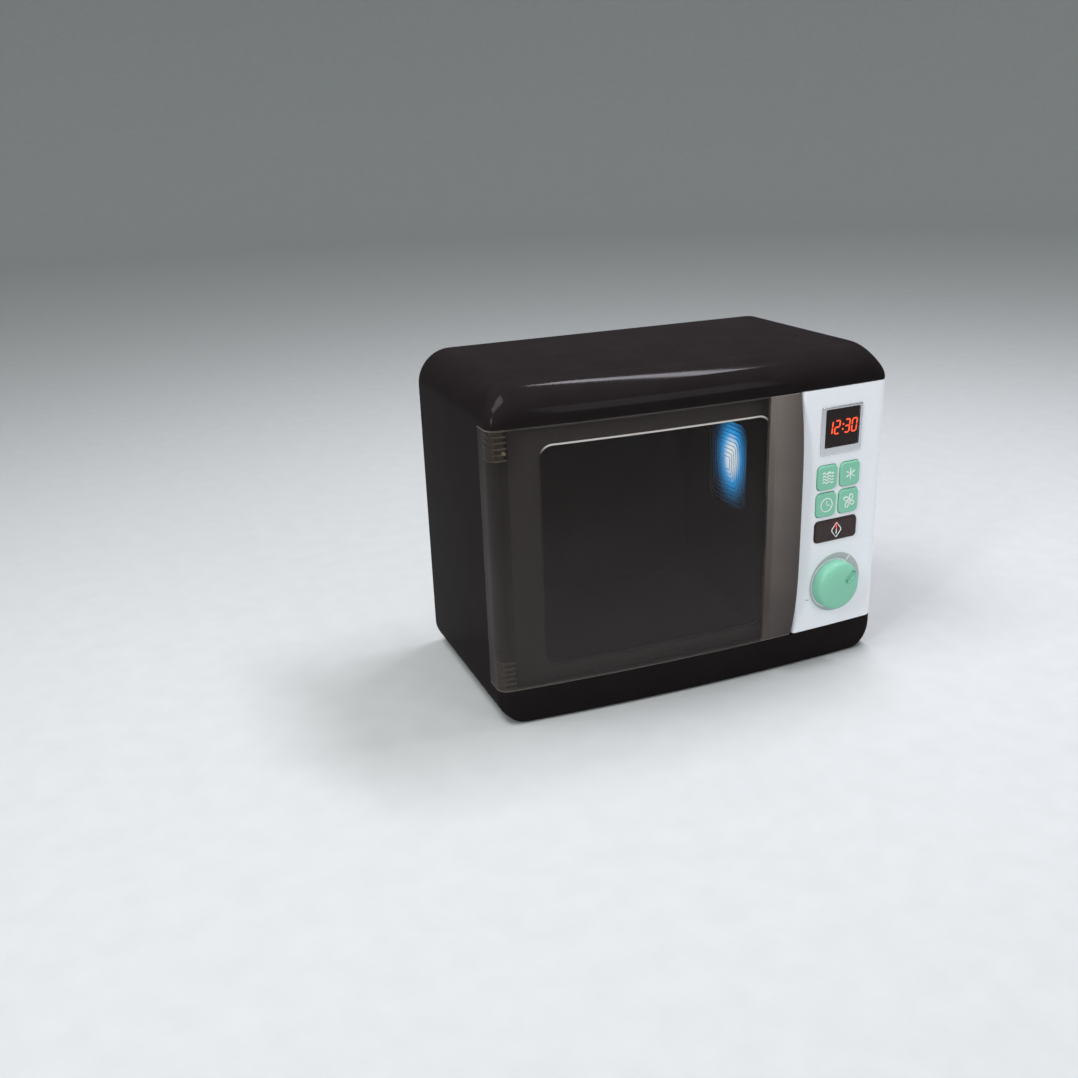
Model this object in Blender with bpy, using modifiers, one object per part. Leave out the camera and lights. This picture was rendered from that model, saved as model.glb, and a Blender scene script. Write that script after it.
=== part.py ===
"""Toy microwave: every separate piece at its real size, in metres, with +Z up.

The front faces -Y. The origin is at the middle of the object's box, on the face that it stands on.
A depth is measured straight back from the bowed front, so pieces of the front share one curve.
"""

import math

import bmesh
import bpy
from mathutils import Matrix, Vector

# Overall sizes, worked out from the photograph
WIDTH = 0.270
BODY_DEPTH = 0.139
HEIGHT = 0.2085
BOW = 0.0060

# Gaps, and how far cutters run past and joined shapes run into their neighbours
SEAT_GAP = 0.0003
DOOR_GAP = 0.0005
SLIDE_GAP = 0.0004
OVERRUN = 0.010
JOIN = 0.0006

# Counts of a curve's sides
ROD_SIDES = 16
ROUND_STEPS = 4
FINE_STEPS = 2
CIRCLE_STEPS = 24
TURN_STEPS = 20
SMALL_TURN_STEPS = 16
SHARP_ANGLE = math.radians(35.0)
WELD = 0.000006

# Housing shell
SHELL_WALL = 0.0025
TOP_ROUND = 0.0225
BASE_ROUND = 0.0165
CORNER_ROUND = 0.0065
FOOT_ROUND = 0.0030
BACK_ROUND = 0.0050
BASE_HEIGHT = 0.0225
VISOR_HEIGHT = 0.0232
LEDGE_DEPTH = 0.030
WRAP_DEPTH = 0.0175
BOW_FADE = 0.045
CORNER_STEPS = 5
BOW_STEPS = 6
CORNER_STATIONS = 3
TOP_STATIONS = 4
BACK_STATIONS = 2

# Back cover and what it carries
COVER_WALL = 0.0022
COVER_RECESS = 0.0032
COVER_INSET = 0.0075
STOP_RIM = 0.0022
RIM_THICKNESS = 0.0065
BOSS_RADIUS = 0.0040
BOSS_LENGTH = 0.030
BOSS_SIDE = 0.0130
BOSS_TOP_INSET = 0.0255
BOSS_BASE_Z = 0.0260
SCREW_RADIUS = 0.0013
SCREW_HEAD_RADIUS = 0.0027
SCREW_HEAD_HEIGHT = 0.0016
SCREW_LENGTH = 0.0100
SCREW_SIDES = 8
HEAD_EDGE_SHARE = 0.45
HEAD_FACE_SHARE = 0.70

# Door
DOOR_WALL = 0.0025
DOOR_PANEL_GAP = 0.0006
DOOR_RETURN = 0.0080
EDGE_ROUND = 0.0028
EDGE_STEPS = 3
GRIP_WIDTH = 0.0229
GRIP_EDGE = 0.0018
GRIP_RISE = 0.0067
GRIP_EDGE_SHARE = 0.78
GRIP_END_POWER = 4.2
GRIP_STATIONS = 5
DOOR_LEVELS = 10
HINGE_INSET = 0.0050
HINGE_DEPTH = 0.0110
HINGE_PIN_RADIUS = 0.0015
HINGE_BOSS_RADIUS = 0.0034
HINGE_BLOCK_HEIGHT = 0.0185
HINGE_BLOCK_WIDTH = 0.0110
HINGE_BLOCK_DEPTH = 0.0135
HINGE_RIBS = 6
HINGE_RIB = 0.0012
TONGUE_INSET = 0.0069
TONGUE_WIDTH = 0.0030
TONGUE_HEIGHT = 0.0100
TONGUE_REACH = 0.0140
TONGUE_HOOK = 0.0004
TONGUE_NOSE = 0.0018
NOSE_SHARE = 0.40

# Front frame and oven
FRAME_WALL = 0.0020
FRAME_DEPTH = 0.0090
FRAME_INSET = 0.0140
FRAME_RETURN = 0.0208
OPENING_LEFT_INSET = 0.0330
OPENING_RIGHT_INSET = 0.0169
OPENING_BASE_INSET = 0.0090
OPENING_TOP_INSET = 0.0143
OPENING_ROUND = 0.0080
OVEN_WALL = 0.0018
OVEN_MARGIN = 0.0012
OVEN_BACK_SPACE = 0.0180
OVEN_LEFT_DRAFT = 0.0110
OVEN_LEFT_ROUND = 0.062
OVEN_RIGHT_ROUND = 0.016
OVEN_ROUND_STEPS = 7
OVEN_FLANGE = 0.0022
CATCH_GAP = 0.0010
CATCH_WALL = 0.0013
CATCH_END = 0.0026
CATCH_LENGTH = 0.0060
CATCH_SEAT = 0.0006
EAR_OUT = 0.0068
EAR_HALF = 0.0045
EAR_SPREAD_SHARE = 0.7329
EAR_DEPTH = 0.0175
EAR_SCREW_LENGTH = 0.0086

# Control panel
PANEL_WIDTH = 0.0670
PANEL_WALL = 0.0025
PANEL_RETURN = 0.0120
COLUMN_INSET = 0.0368

# Display
WINDOW_SHIFT = 0.0007
WINDOW_Z_SHARE = 0.838452
BEZEL_WIDTH = 0.0316
BEZEL_SHIFT = -0.0002
BEZEL_TOP_SHARE = 0.085995
BEZEL_BASE_SHARE = 0.105651
BEZEL_ROUND = 0.0010
BEZEL_THICKNESS = 0.0008
WINDOW_WIDTH = 0.0262
WINDOW_HEIGHT_SHARE = 0.148649
WINDOW_LIP = 0.0008
MODULE_MARGIN = 0.0012

# Buttons
BUTTON_WIDTH = 0.0153
BUTTON_HEIGHT_SHARE = 0.098280
BUTTON_ROUND = 0.0032
BUTTON_PITCH_X = 0.0179
BUTTON_PITCH_Z_SHARE = 0.111794
BUTTON_Z_SHARE = 0.587224
START_WIDTH = 0.0332
START_HEIGHT_SHARE = 0.088452
START_ROUND = 0.0028
START_Z_SHARE = 0.419533
START_STEM_SPREAD = 0.0200
BUTTON_PROUD = 0.0015
BUTTON_STEPS = 3
BUTTON_EDGE = 0.0009
BUTTON_FLANGE = 0.0009
BUTTON_FLANGE_THICKNESS = 0.0012
BUTTON_TRAVEL = 0.0012
STEM_RADIUS = 0.0028

# Keypad and circuit board
BOARD_DEPTH = 0.0090
BOARD_THICKNESS = 0.0016
BOARD_WIDTH = 0.0540
BOARD_SCREW_LENGTH = 0.0070
BOARD_BASE_SHARE = 0.356265
BOARD_TOP_SHARE = 0.961302
BOARD_HOLE_INSET = 0.0040
PAD_THICKNESS = 0.0014
DOME_RADIUS = 0.0036
DOME_TOP_RADIUS = 0.0024
DOME_HEIGHT = 0.0026
PAD_WIDTH = 0.0390
PAD_BASE_SHARE = 0.380835
PAD_TOP_SHARE = 0.700246
PAD_ROUND = 0.0030
POST_RADIUS = 0.0028
CHIP_RADIUS = 0.0048
CHIP_HEIGHT = 0.0018
LAMP_CHIP_WIDTH = 0.0030
LAMP_CHIP_HEIGHT = 0.0020
LAMP_CHIP_GAP = 0.0010
DOME_SHARES = (0.87, 0.71)

# Timer knob and its click parts
KNOB_Z_SHARE = 0.188575
KNOB_RADIUS = 0.0164
KNOB_HEIGHT = 0.0093
KNOB_LIFT = 0.0006
KNOB_SHAFT_RADIUS = 0.0029
KNOB_SHAFT_LENGTH = 0.0065
KNOB_STEPS = 28
KNOB_LEAN_SHARE = 0.38
KNOB_WALL = 0.0018
KNOB_HUB_RADIUS = 0.0045
KNOB_SCREW_TIP = 0.0022
KNOB_SHARES = ((0.0, 1.0), (0.50, 0.985), (0.80, 0.92), (0.93, 0.83), (0.985, 0.71), (1.0, 0.56))
SLOT_ANGLE = math.radians(35.0)
SLOT_START = 0.0056
SLOT_END = 0.0141
SLOT_WIDTH = 0.0034
SLOT_ROUND = 0.0016
SLOT_FLOOR = 0.0016
WHEEL_RADIUS = 0.0105
WHEEL_TOOTH = 0.0005
WHEEL_TEETH = 20
WHEEL_TOOTH_POINTS = 4
WHEEL_THICKNESS = 0.0030
WHEEL_BACKSET = 0.0035
WASHER_RADIUS = 0.0046
WASHER_THICKNESS = 0.0008
SPRING_LEAF = 0.0010
SPRING_FOOT_X = -0.0170
SPRING_FOOT_Z = 0.0150
SPRING_FOOT_WIDTH = 0.0070
SPRING_ARM_END = 0.0080
SPRING_NOSE = 0.0016
SPRING_PIN_RADIUS = 0.0014

# Oven light
LENS_DEPTH = 0.0560
LENS_Z_SHARE = 0.641892
LENS_WIDTH = 0.0480
LENS_HEIGHT = 0.0580
LENS_ROUND = 0.0080
LENS_THICKNESS = 0.0016
LENS_STEPS = 3
LENS_RIDGES = 4
LENS_RIDGE_PITCH = 0.0042
LENS_RIDGE_RISE = 0.0005
LENS_FLANGE = 0.0020
REFLECTOR_LENGTH = 0.0140
REFLECTOR_WALL = 0.0012
REFLECTOR_TAPER = 0.0100
LED_RADIUS = 0.0025
LED_LENGTH = 0.0060
LED_FOOT = 0.0012
LED_FOOT_SHARE = 1.3

# Speaker
SPEAKER_INSET = 0.0470
SPEAKER_TOP_INSET = 0.0605
SPEAKER_RADIUS = 0.0180
SPEAKER_RIM = 0.0020
SPEAKER_DEPTH = 0.0100
SPEAKER_CONE = -0.0040
COLLAR_HEIGHT = 0.0024
MAGNET_RADIUS = 0.0090
MAGNET_DEPTH = 0.0060
GRILLE_RINGS = 2
GRILLE_PITCH = 0.0052
GRILLE_HOLE = 0.0014
GRILLE_SIDES = 6
CLAMP_WIDTH = 0.0030
CLAMP_THICKNESS = 0.0016

# Batteries
CELL_RADIUS = 0.00525
CELL_LENGTH = 0.0445
CELL_NUB_RADIUS = 0.0019
CELL_NUB = 0.0010
CELL_PITCH = 0.0125
CELL_GAP = 0.0005
BATTERY_INSET = 0.0470
BATTERY_Z = 0.0640
BOX_WALL = 0.0016
CONTACT_WIDTH = 0.0090
CONTACT_THICKNESS = 0.0006
BATTERY_DOOR_MARGIN = 0.0045
BATTERY_TAB = 0.0110
BATTERY_DOOR_THICKNESS = 0.0026
DOOR_SCREW_SINK = 0.0014
LIP_REACH = 0.0016
BATTERY_SCREW_LENGTH = 0.0080
COVER_BOSS_SHARE = 0.9
BATTERY_DOOR_ROUND = 0.0030

# Wires
WIRE_RADIUS = 0.0006
WIRE_PITCH = 0.0018
WIRE_POINTS = 9
WIRE_SAG = 0.0150

# Places worked out from the sizes
HALF = WIDTH / 2.0
FACE = HEIGHT - VISOR_HEIGHT - BASE_HEIGHT
PANEL_LEFT = HALF - PANEL_WIDTH
DOOR_RIGHT = PANEL_LEFT - DOOR_PANEL_GAP
GRIP_LEFT = DOOR_RIGHT - GRIP_WIDTH
HINGE_X = HINGE_INSET - HALF
TONGUE_X = DOOR_RIGHT - TONGUE_INSET
FRAME_LEFT = FRAME_INSET - HALF
OPENING_LEFT = OPENING_LEFT_INSET - HALF
OPENING_RIGHT = DOOR_RIGHT - OPENING_RIGHT_INSET
OPENING_BASE = BASE_HEIGHT + OPENING_BASE_INSET
OPENING_TOP = BASE_HEIGHT + FACE - OPENING_TOP_INSET
OVEN_BACK = BODY_DEPTH - OVEN_BACK_SPACE
COLUMN_X = HALF - COLUMN_INSET
WINDOW_X = COLUMN_X + WINDOW_SHIFT
WINDOW_Z = BASE_HEIGHT + FACE * WINDOW_Z_SHARE
WINDOW_HEIGHT = FACE * WINDOW_HEIGHT_SHARE
BEZEL_TOP = FACE * BEZEL_TOP_SHARE
BEZEL_BASE = FACE * BEZEL_BASE_SHARE
BUTTON_HEIGHT = FACE * BUTTON_HEIGHT_SHARE
BUTTON_PITCH_Z = FACE * BUTTON_PITCH_Z_SHARE
BUTTON_Z = BASE_HEIGHT + FACE * BUTTON_Z_SHARE
START_HEIGHT = FACE * START_HEIGHT_SHARE
START_Z = BASE_HEIGHT + FACE * START_Z_SHARE
BOARD_BASE_Z = BASE_HEIGHT + FACE * BOARD_BASE_SHARE
BOARD_TOP_Z = BASE_HEIGHT + FACE * BOARD_TOP_SHARE
PAD_BASE_Z = BASE_HEIGHT + FACE * PAD_BASE_SHARE
PAD_TOP_Z = BASE_HEIGHT + FACE * PAD_TOP_SHARE
KNOB_Z = BASE_HEIGHT + FACE * KNOB_Z_SHARE
LENS_Z = BASE_HEIGHT + FACE * LENS_Z_SHARE
SPEAKER_X = HALF - SPEAKER_INSET
SPEAKER_Z = HEIGHT - SPEAKER_TOP_INSET
BATTERY_X = HALF - BATTERY_INSET
BOSS_TOP_Z = HEIGHT - BOSS_TOP_INSET
KNOB_SLOPE = 8.0 * BOW * COLUMN_X / WIDTH ** 2
KNOB_TILT = math.atan(KNOB_SLOPE)
KNOB_REACH = (KNOB_HEIGHT * math.cos(KNOB_TILT) + KNOB_RADIUS * math.sin(KNOB_TILT) * KNOB_LEAN_SHARE
              + BOW * (1.0 - (2.0 * COLUMN_X / WIDTH) ** 2))
FRONT = (KNOB_REACH - BODY_DEPTH) / 2.0
BACK = FRONT + BODY_DEPTH
DOOR_BASE = BASE_HEIGHT + DOOR_GAP
DOOR_TOP = HEIGHT - VISOR_HEIGHT - DOOR_GAP
BOARD_Y = FRONT + BOARD_DEPTH
COVER_Y = BACK - COVER_RECESS - COVER_WALL
EAR_Y = FRONT + EAR_DEPTH
STEM_END = BOARD_Y - PAD_THICKNESS - DOME_HEIGHT - BUTTON_TRAVEL - 2.0 * SEAT_GAP
OVEN_LEFT = OPENING_LEFT - OVEN_MARGIN
OVEN_RIGHT = OPENING_RIGHT + OVEN_MARGIN
OVEN_FLOOR = OPENING_BASE - OVEN_MARGIN
OVEN_CEILING = OPENING_TOP + OVEN_MARGIN

FINISHES = {
    "black_shell": ((0.018, 0.016, 0.017), 0.22, 0.0),
    "dark_frame": ((0.045, 0.040, 0.042), 0.45, 0.0),
    "oven_black": ((0.012, 0.010, 0.010), 0.50, 0.0),
    "smoked_clear": ((0.10, 0.085, 0.08), 0.08, 0.0),
    "panel_white": ((0.80, 0.82, 0.86), 0.32, 0.0),
    "mint": ((0.30, 0.66, 0.50), 0.35, 0.0),
    "start_black": ((0.03, 0.022, 0.02), 0.30, 0.0),
    "silver": ((0.62, 0.62, 0.64), 0.28, 1.0),
    "steel": ((0.55, 0.55, 0.56), 0.30, 1.0),
    "window_dark": ((0.02, 0.008, 0.008), 0.06, 0.0),
    "rubber_grey": ((0.25, 0.25, 0.26), 0.70, 0.0),
    "board_green": ((0.03, 0.16, 0.07), 0.45, 0.0),
    "lens_clear": ((0.75, 0.80, 0.85), 0.10, 0.0),
    "white_plastic": ((0.78, 0.78, 0.76), 0.40, 0.0),
    "cell_wrap": ((0.08, 0.09, 0.10), 0.35, 0.0),
    "wire_red": ((0.45, 0.03, 0.03), 0.45, 0.0),
}


def start_scene():
    """Empty the scene and make the collections for the parts and the cutters."""
    for item in list(bpy.data.objects):
        bpy.data.objects.remove(item, do_unlink=True)
    made = []
    for label in ("toy_microwave", "cutters"):
        group = bpy.data.collections.new(label)
        bpy.context.scene.collection.children.link(group)
        made.append(group)
    return made


PARTS, CUTTERS = start_scene()


def finish(label):
    """The material of a finish, made once from its colour, roughness and metallic value."""
    made = bpy.data.materials.get(label)
    if made:
        return made
    colour, roughness, metallic = FINISHES[label]
    made = bpy.data.materials.new(label)
    made.use_nodes = True
    shader = made.node_tree.nodes["Principled BSDF"]
    shader.inputs["Base Color"].default_value = (*colour, 1.0)
    shader.inputs["Roughness"].default_value = roughness
    shader.inputs["Metallic"].default_value = metallic
    made.diffuse_color = (*colour, 1.0)
    return made


def part(name, mesh, label, smooth=True):
    """Put a mesh in the parts collection under its node's name, with its own finish."""
    item = bpy.data.objects.new(name, mesh)
    mesh.name = name
    PARTS.objects.link(item)
    mesh.materials.clear()
    mesh.materials.append(finish(label))
    if smooth and mesh.polygons:
        mesh.shade_smooth()
        mesh.set_sharp_from_angle(angle=SHARP_ANGLE)
    return item


def guide(name, mesh):
    """Put a mesh among the cutters, out of the render."""
    item = bpy.data.objects.new(name, mesh)
    CUTTERS.objects.link(item)
    item.hide_render = True
    item.display_type = "WIRE"
    return item


def combine(item, other, operation):
    """Cut one shape from another, or join them, with the exact solver."""
    change = item.modifiers.new(other.name, "BOOLEAN")
    change.operation = operation
    change.object = other
    change.solver = "EXACT"
    return item


def cut(item, *cutters):
    """Take each cutter out of a piece."""
    for cutter in cutters:
        combine(item, cutter, "DIFFERENCE")
    return item


def join(item, *shapes):
    """Make each added shape one body with a piece."""
    for shape in shapes:
        combine(item, shape, "UNION")
    return item


def settled(item):
    """The evaluated mesh of an object, with its place applied and its welds closed."""
    bpy.context.view_layer.update()
    graph = bpy.context.evaluated_depsgraph_get()
    mesh = bpy.data.meshes.new_from_object(item.evaluated_get(graph))
    mesh.transform(item.matrix_world)
    work = bmesh.new()
    work.from_mesh(mesh)
    bmesh.ops.remove_doubles(work, verts=work.verts, dist=WELD)
    work.to_mesh(mesh)
    work.free()
    return mesh


def face_out(work):
    """Turn every face of a closed shape outwards and return it as a mesh."""
    bmesh.ops.recalc_face_normals(work, faces=work.faces)
    mesh = bpy.data.meshes.new("shape")
    work.to_mesh(mesh)
    work.free()
    return mesh


def block(low, high):
    """A box mesh between two corners."""
    work = bmesh.new()
    bmesh.ops.create_cube(work, size=1.0)
    size = [top - bottom for bottom, top in zip(low, high)]
    middle = [(top + bottom) / 2.0 for bottom, top in zip(low, high)]
    bmesh.ops.scale(work, vec=size, verts=work.verts)
    bmesh.ops.translate(work, vec=middle, verts=work.verts)
    return face_out(work)


def rod(start, end, radius, far_radius=None, sides=ROD_SIDES):
    """A round bar or cone mesh between two points."""
    start, end = Vector(start), Vector(end)
    work = bmesh.new()
    bmesh.ops.create_cone(
        work, cap_ends=True, segments=sides, radius1=radius,
        radius2=radius if far_radius is None else far_radius, depth=(end - start).length)
    turn = Vector((0.0, 0.0, 1.0)).rotation_difference(end - start).to_matrix().to_4x4()
    bmesh.ops.transform(work, matrix=Matrix.Translation((start + end) / 2.0) @ turn, verts=work.verts)
    return face_out(work)


def bore(place, end_y, sides=None):
    """A screw's hole from a place straight back to a value of Y."""
    x, y, z = place
    return rod((x, y, z), (x, end_y, z), SCREW_RADIUS + SEAT_GAP, sides=sides or SCREW_SIDES)


def rounded(width, height, radius, steps=ROUND_STEPS):
    """A rounded rectangle about the origin, anticlockwise, as pairs."""
    points = []
    corners = ((1, 1, 0.0), (-1, 1, 0.5), (-1, -1, 1.0), (1, -1, 1.5))
    for side, rise, start in corners:
        for step in range(steps + 1):
            angle = math.pi * (start + step / steps / 2.0)
            points.append((side * (width / 2.0 - radius) + radius * math.cos(angle),
                           rise * (height / 2.0 - radius) + radius * math.sin(angle)))
    return points


def circle(radius, steps=CIRCLE_STEPS, centre=(0.0, 0.0)):
    """A circle as pairs."""
    return [(centre[0] + radius * math.cos(math.tau * step / steps),
             centre[1] + radius * math.sin(math.tau * step / steps)) for step in range(steps)]


def moved(points, across, up):
    """An outline shifted in its own plane."""
    return [(x + across, y + up) for x, y in points]


def plate(loops, thickness):
    """A flat plate from closed outlines, the first outside and the rest its holes.

    Its outlines lie in X and Y, and its thickness rises from zero along Z.
    """
    curve = bpy.data.curves.new("outline", "CURVE")
    curve.dimensions = "2D"
    curve.fill_mode = "BOTH"
    curve.extrude = thickness / 2.0
    for loop in loops:
        spline = curve.splines.new("POLY")
        spline.points.add(len(loop) - 1)
        for point, (x, y) in zip(spline.points, loop):
            point.co = (x, y, 0.0, 1.0)
        spline.use_cyclic_u = True
    holder = bpy.data.objects.new("outline", curve)
    CUTTERS.objects.link(holder)
    holder.location.z = thickness / 2.0
    mesh = settled(holder)
    bpy.data.objects.remove(holder)
    bpy.data.curves.remove(curve)
    work = bmesh.new()
    work.from_mesh(mesh)
    return face_out(work)


def upright(mesh, place):
    """Stand a flat plate up, its outline in X and Z and its thickness running back from a place."""
    turn = Matrix(((1, 0, 0, 0), (0, 0, 1, 0), (0, 1, 0, 0), (0, 0, 0, 1)))
    mesh.transform(Matrix.Translation(place) @ turn)
    mesh.flip_normals()
    return mesh


def side_on(mesh, place):
    """Stand a flat plate up so that its outline lies in Y and Z and its thickness runs along X."""
    turn = Matrix(((0, 0, 1, 0), (1, 0, 0, 0), (0, 1, 0, 0), (0, 0, 0, 1)))
    mesh.transform(Matrix.Translation(place) @ turn)
    return mesh


def loft(rings):
    """A closed body through rings of equal count, with its two ends capped."""
    work = bmesh.new()
    rows = [[work.verts.new(point) for point in ring] for ring in rings]
    count = len(rows[0])
    for row, following in zip(rows, rows[1:]):
        for index in range(count):
            after = (index + 1) % count
            work.faces.new((row[index], row[after], following[after], following[index]))
    work.faces.new(rows[0])
    work.faces.new(rows[-1])
    return face_out(work)


def turned(name, profile, label, place, axis, steps=TURN_STEPS):
    """A turned piece: its profile of radius and height, top first, stands along an axis from a place."""
    mesh = bpy.data.meshes.new(name)
    points = [(radius, 0.0, height) for radius, height in profile]
    closed = profile[0][0] > 0.0
    edges = [(index, index + 1) for index in range(len(points) - 1)]
    if closed:
        edges.append((len(points) - 1, 0))
    mesh.from_pydata(points, edges, [])
    item = part(name, mesh, label)
    item.location = place
    item.rotation_mode = "QUATERNION"
    item.rotation_quaternion = Vector((0.0, 0.0, 1.0)).rotation_difference(Vector(axis))
    spin = item.modifiers.new("turn", "SCREW")
    spin.steps = steps
    spin.render_steps = steps
    spin.use_merge_vertices = True
    spin.merge_threshold = WELD
    spin.use_smooth_shade = True
    return item


def rounding(radius, depth):
    """How far a rounded edge has drawn in at a depth."""
    short = max(radius - depth, 0.0)
    return radius - math.sqrt(max(radius ** 2 - short ** 2, 0.0))


def front_y(x, depth=0.0):
    """The y of the bowed front at an x, or of a place behind it, where the bow fades out."""
    fade = max(1.0 - max(depth, 0.0) / BOW_FADE, 0.0)
    return FRONT + depth - fade * BOW * (1.0 - (2.0 * x / WIDTH) ** 2)


def skin_y(x, depth):
    """The y at an even distance behind the bowed front."""
    return front_y(x) + depth


def shell_ring(depth, inset):
    """One ring of the housing at a depth: an upper and a lower chain from the left side to the right."""
    ahead = depth - inset
    behind = rounding(max(BACK_ROUND - inset, 0.0), BODY_DEPTH - inset - depth)
    side = rounding(max(CORNER_ROUND - inset, JOIN), ahead) + behind
    top = rounding(TOP_ROUND - inset, ahead) + behind
    low = rounding(max(FOOT_ROUND - inset, JOIN), ahead) + behind
    half = HALF - inset - side
    chains = []
    for level, radius, drawn, sense in (
            (HEIGHT - inset, TOP_ROUND - inset, top, 1.0),
            (inset, BASE_ROUND - inset, low, -1.0)):
        across = radius - side
        rise = radius - drawn
        edge = level - sense * drawn
        chain = []
        for step in range(CORNER_STEPS + 1):
            angle = math.pi / 2.0 * step / CORNER_STEPS
            chain.append((-half + across * (1.0 - math.cos(angle)),
                          edge - sense * rise * (1.0 - math.sin(angle))))
        inner = half - across
        for step in range(1, BOW_STEPS):
            chain.append((-inner + 2.0 * inner * step / BOW_STEPS, edge))
        for step in range(CORNER_STEPS + 1):
            angle = math.pi / 2.0 * (1.0 - step / CORNER_STEPS)
            chain.append((half - across * (1.0 - math.cos(angle)),
                          edge - sense * rise * (1.0 - math.sin(angle))))
        chains.append([Vector((x, front_y(x, depth), z)) for x, z in chain])
    return chains


def shell_body(inset, back):
    """A closed body in the housing's form, drawn in all round by an inset."""
    depths = {inset, inset + BOW_FADE / 2.0, BOW_FADE}
    for radius, count in ((CORNER_ROUND - inset, CORNER_STATIONS), (TOP_ROUND - inset, TOP_STATIONS)):
        for step in range(1, count + 1):
            depths.add(inset + radius * (1.0 - math.cos(math.pi / 2.0 * step / count)))
    if back < BODY_DEPTH:
        depths.add(back)
    elif inset == 0.0:
        for step in range(BACK_STATIONS + 1):
            depths.add(BODY_DEPTH - BACK_ROUND * (1.0 - math.sin(math.pi / 2.0 * step / BACK_STATIONS)))
    depths = sorted(depths)
    work = bmesh.new()
    rows = []
    for depth in depths:
        upper, lower = shell_ring(depth, inset)
        rows.append(([work.verts.new(p) for p in upper], [work.verts.new(p) for p in lower]))
    count = len(rows[0][0])
    for (upper, lower), (next_upper, next_lower) in zip(rows, rows[1:]):
        for index in range(count - 1):
            work.faces.new((upper[index], upper[index + 1], next_upper[index + 1], next_upper[index]))
            work.faces.new((lower[index], lower[index + 1], next_lower[index + 1], next_lower[index]))
        for index in (0, count - 1):
            work.faces.new((upper[index], next_upper[index], next_lower[index], lower[index]))
    for upper, lower in (rows[0], rows[-1]):
        for index in range(count - 1):
            work.faces.new((upper[index], upper[index + 1], lower[index + 1], lower[index]))
    return face_out(work)


def shell_outline(inset):
    """The housing's outline, drawn in by an inset, anticlockwise from the right as seen from the front."""
    points = []
    half = HALF - inset
    top, base = TOP_ROUND - inset, BASE_ROUND - inset
    corners = ((1, HEIGHT - inset - top, top, 0.0), (-1, HEIGHT - inset - top, top, 0.5),
               (-1, inset + base, base, 1.0), (1, inset + base, base, 1.5))
    for side, centre_z, radius, start in corners:
        for step in range(CORNER_STEPS + 1):
            angle = math.pi * (start + step / CORNER_STEPS / 2.0)
            points.append((side * (half - radius) + radius * math.cos(angle),
                           centre_z + radius * math.sin(angle)))
    return points


def prism(loop, near, far):
    """An outline in X and Z run straight back between two values of Y."""
    return upright(plate([loop], far - near), (0.0, near, 0.0))


def sheet(rows):
    """An open surface through rows of points, which Solidify makes a wall."""
    work = bmesh.new()
    grid = [[work.verts.new(point) for point in row] for row in rows]
    for row, following in zip(grid, grid[1:]):
        for index in range(len(row) - 1):
            work.faces.new((row[index], row[index + 1], following[index + 1], following[index]))
    mesh = bpy.data.meshes.new("sheet")
    work.to_mesh(mesh)
    work.free()
    return mesh


def walled(item, thickness):
    """Give an open surface its wall, on the side away from its front."""
    wall = item.modifiers.new("wall", "SOLIDIFY")
    wall.thickness = thickness
    wall.offset = -1.0
    wall.use_even_offset = True
    return item


def gather(meshes):
    """Several separate bodies as one mesh."""
    work = bmesh.new()
    for mesh in meshes:
        work.from_mesh(mesh)
    merged = bpy.data.meshes.new("group")
    work.to_mesh(merged)
    work.free()
    return merged


def set_origin(item, place):
    """Move a piece's origin to its joint's axis, with its mesh left where it is."""
    item.data.transform(Matrix.Translation(-Vector(place)))
    item.location = place
    return item


def follow(loop, depth):
    """An outline in X and Z laid at an even distance behind the bowed front."""
    return [Vector((x, skin_y(x, depth), z)) for x, z in loop]


def screw(name, x, z, seat_y, length):
    """A pan-head screw along Y, with its head's underside at its seat and its point in front of it."""
    edge = SCREW_HEAD_HEIGHT * HEAD_EDGE_SHARE
    profile = [(0.0, SCREW_HEAD_HEIGHT), (SCREW_HEAD_RADIUS * HEAD_FACE_SHARE, SCREW_HEAD_HEIGHT),
               (SCREW_HEAD_RADIUS, edge), (SCREW_HEAD_RADIUS, 0.0), (SCREW_RADIUS, 0.0),
               (SCREW_RADIUS, SCREW_RADIUS - length), (0.0, -length)]
    return turned(name, profile, "steel", (x, seat_y, z), (0.0, 1.0, 0.0), SCREW_SIDES)


def screws(name, places, seat_y, length):
    """A set of like screws at pairs of X and Z, each its own piece."""
    for index, (x, z) in enumerate(places, 1):
        screw(f"{name}_{index}", x, z, seat_y, length)


def boss_places():
    """Where the cover's screws stand, as pairs of X and Z."""
    across = HALF - BOSS_SIDE
    return [(side * across, z) for side in (-1.0, 1.0) for z in (BOSS_BASE_Z, BOSS_TOP_Z)]


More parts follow.
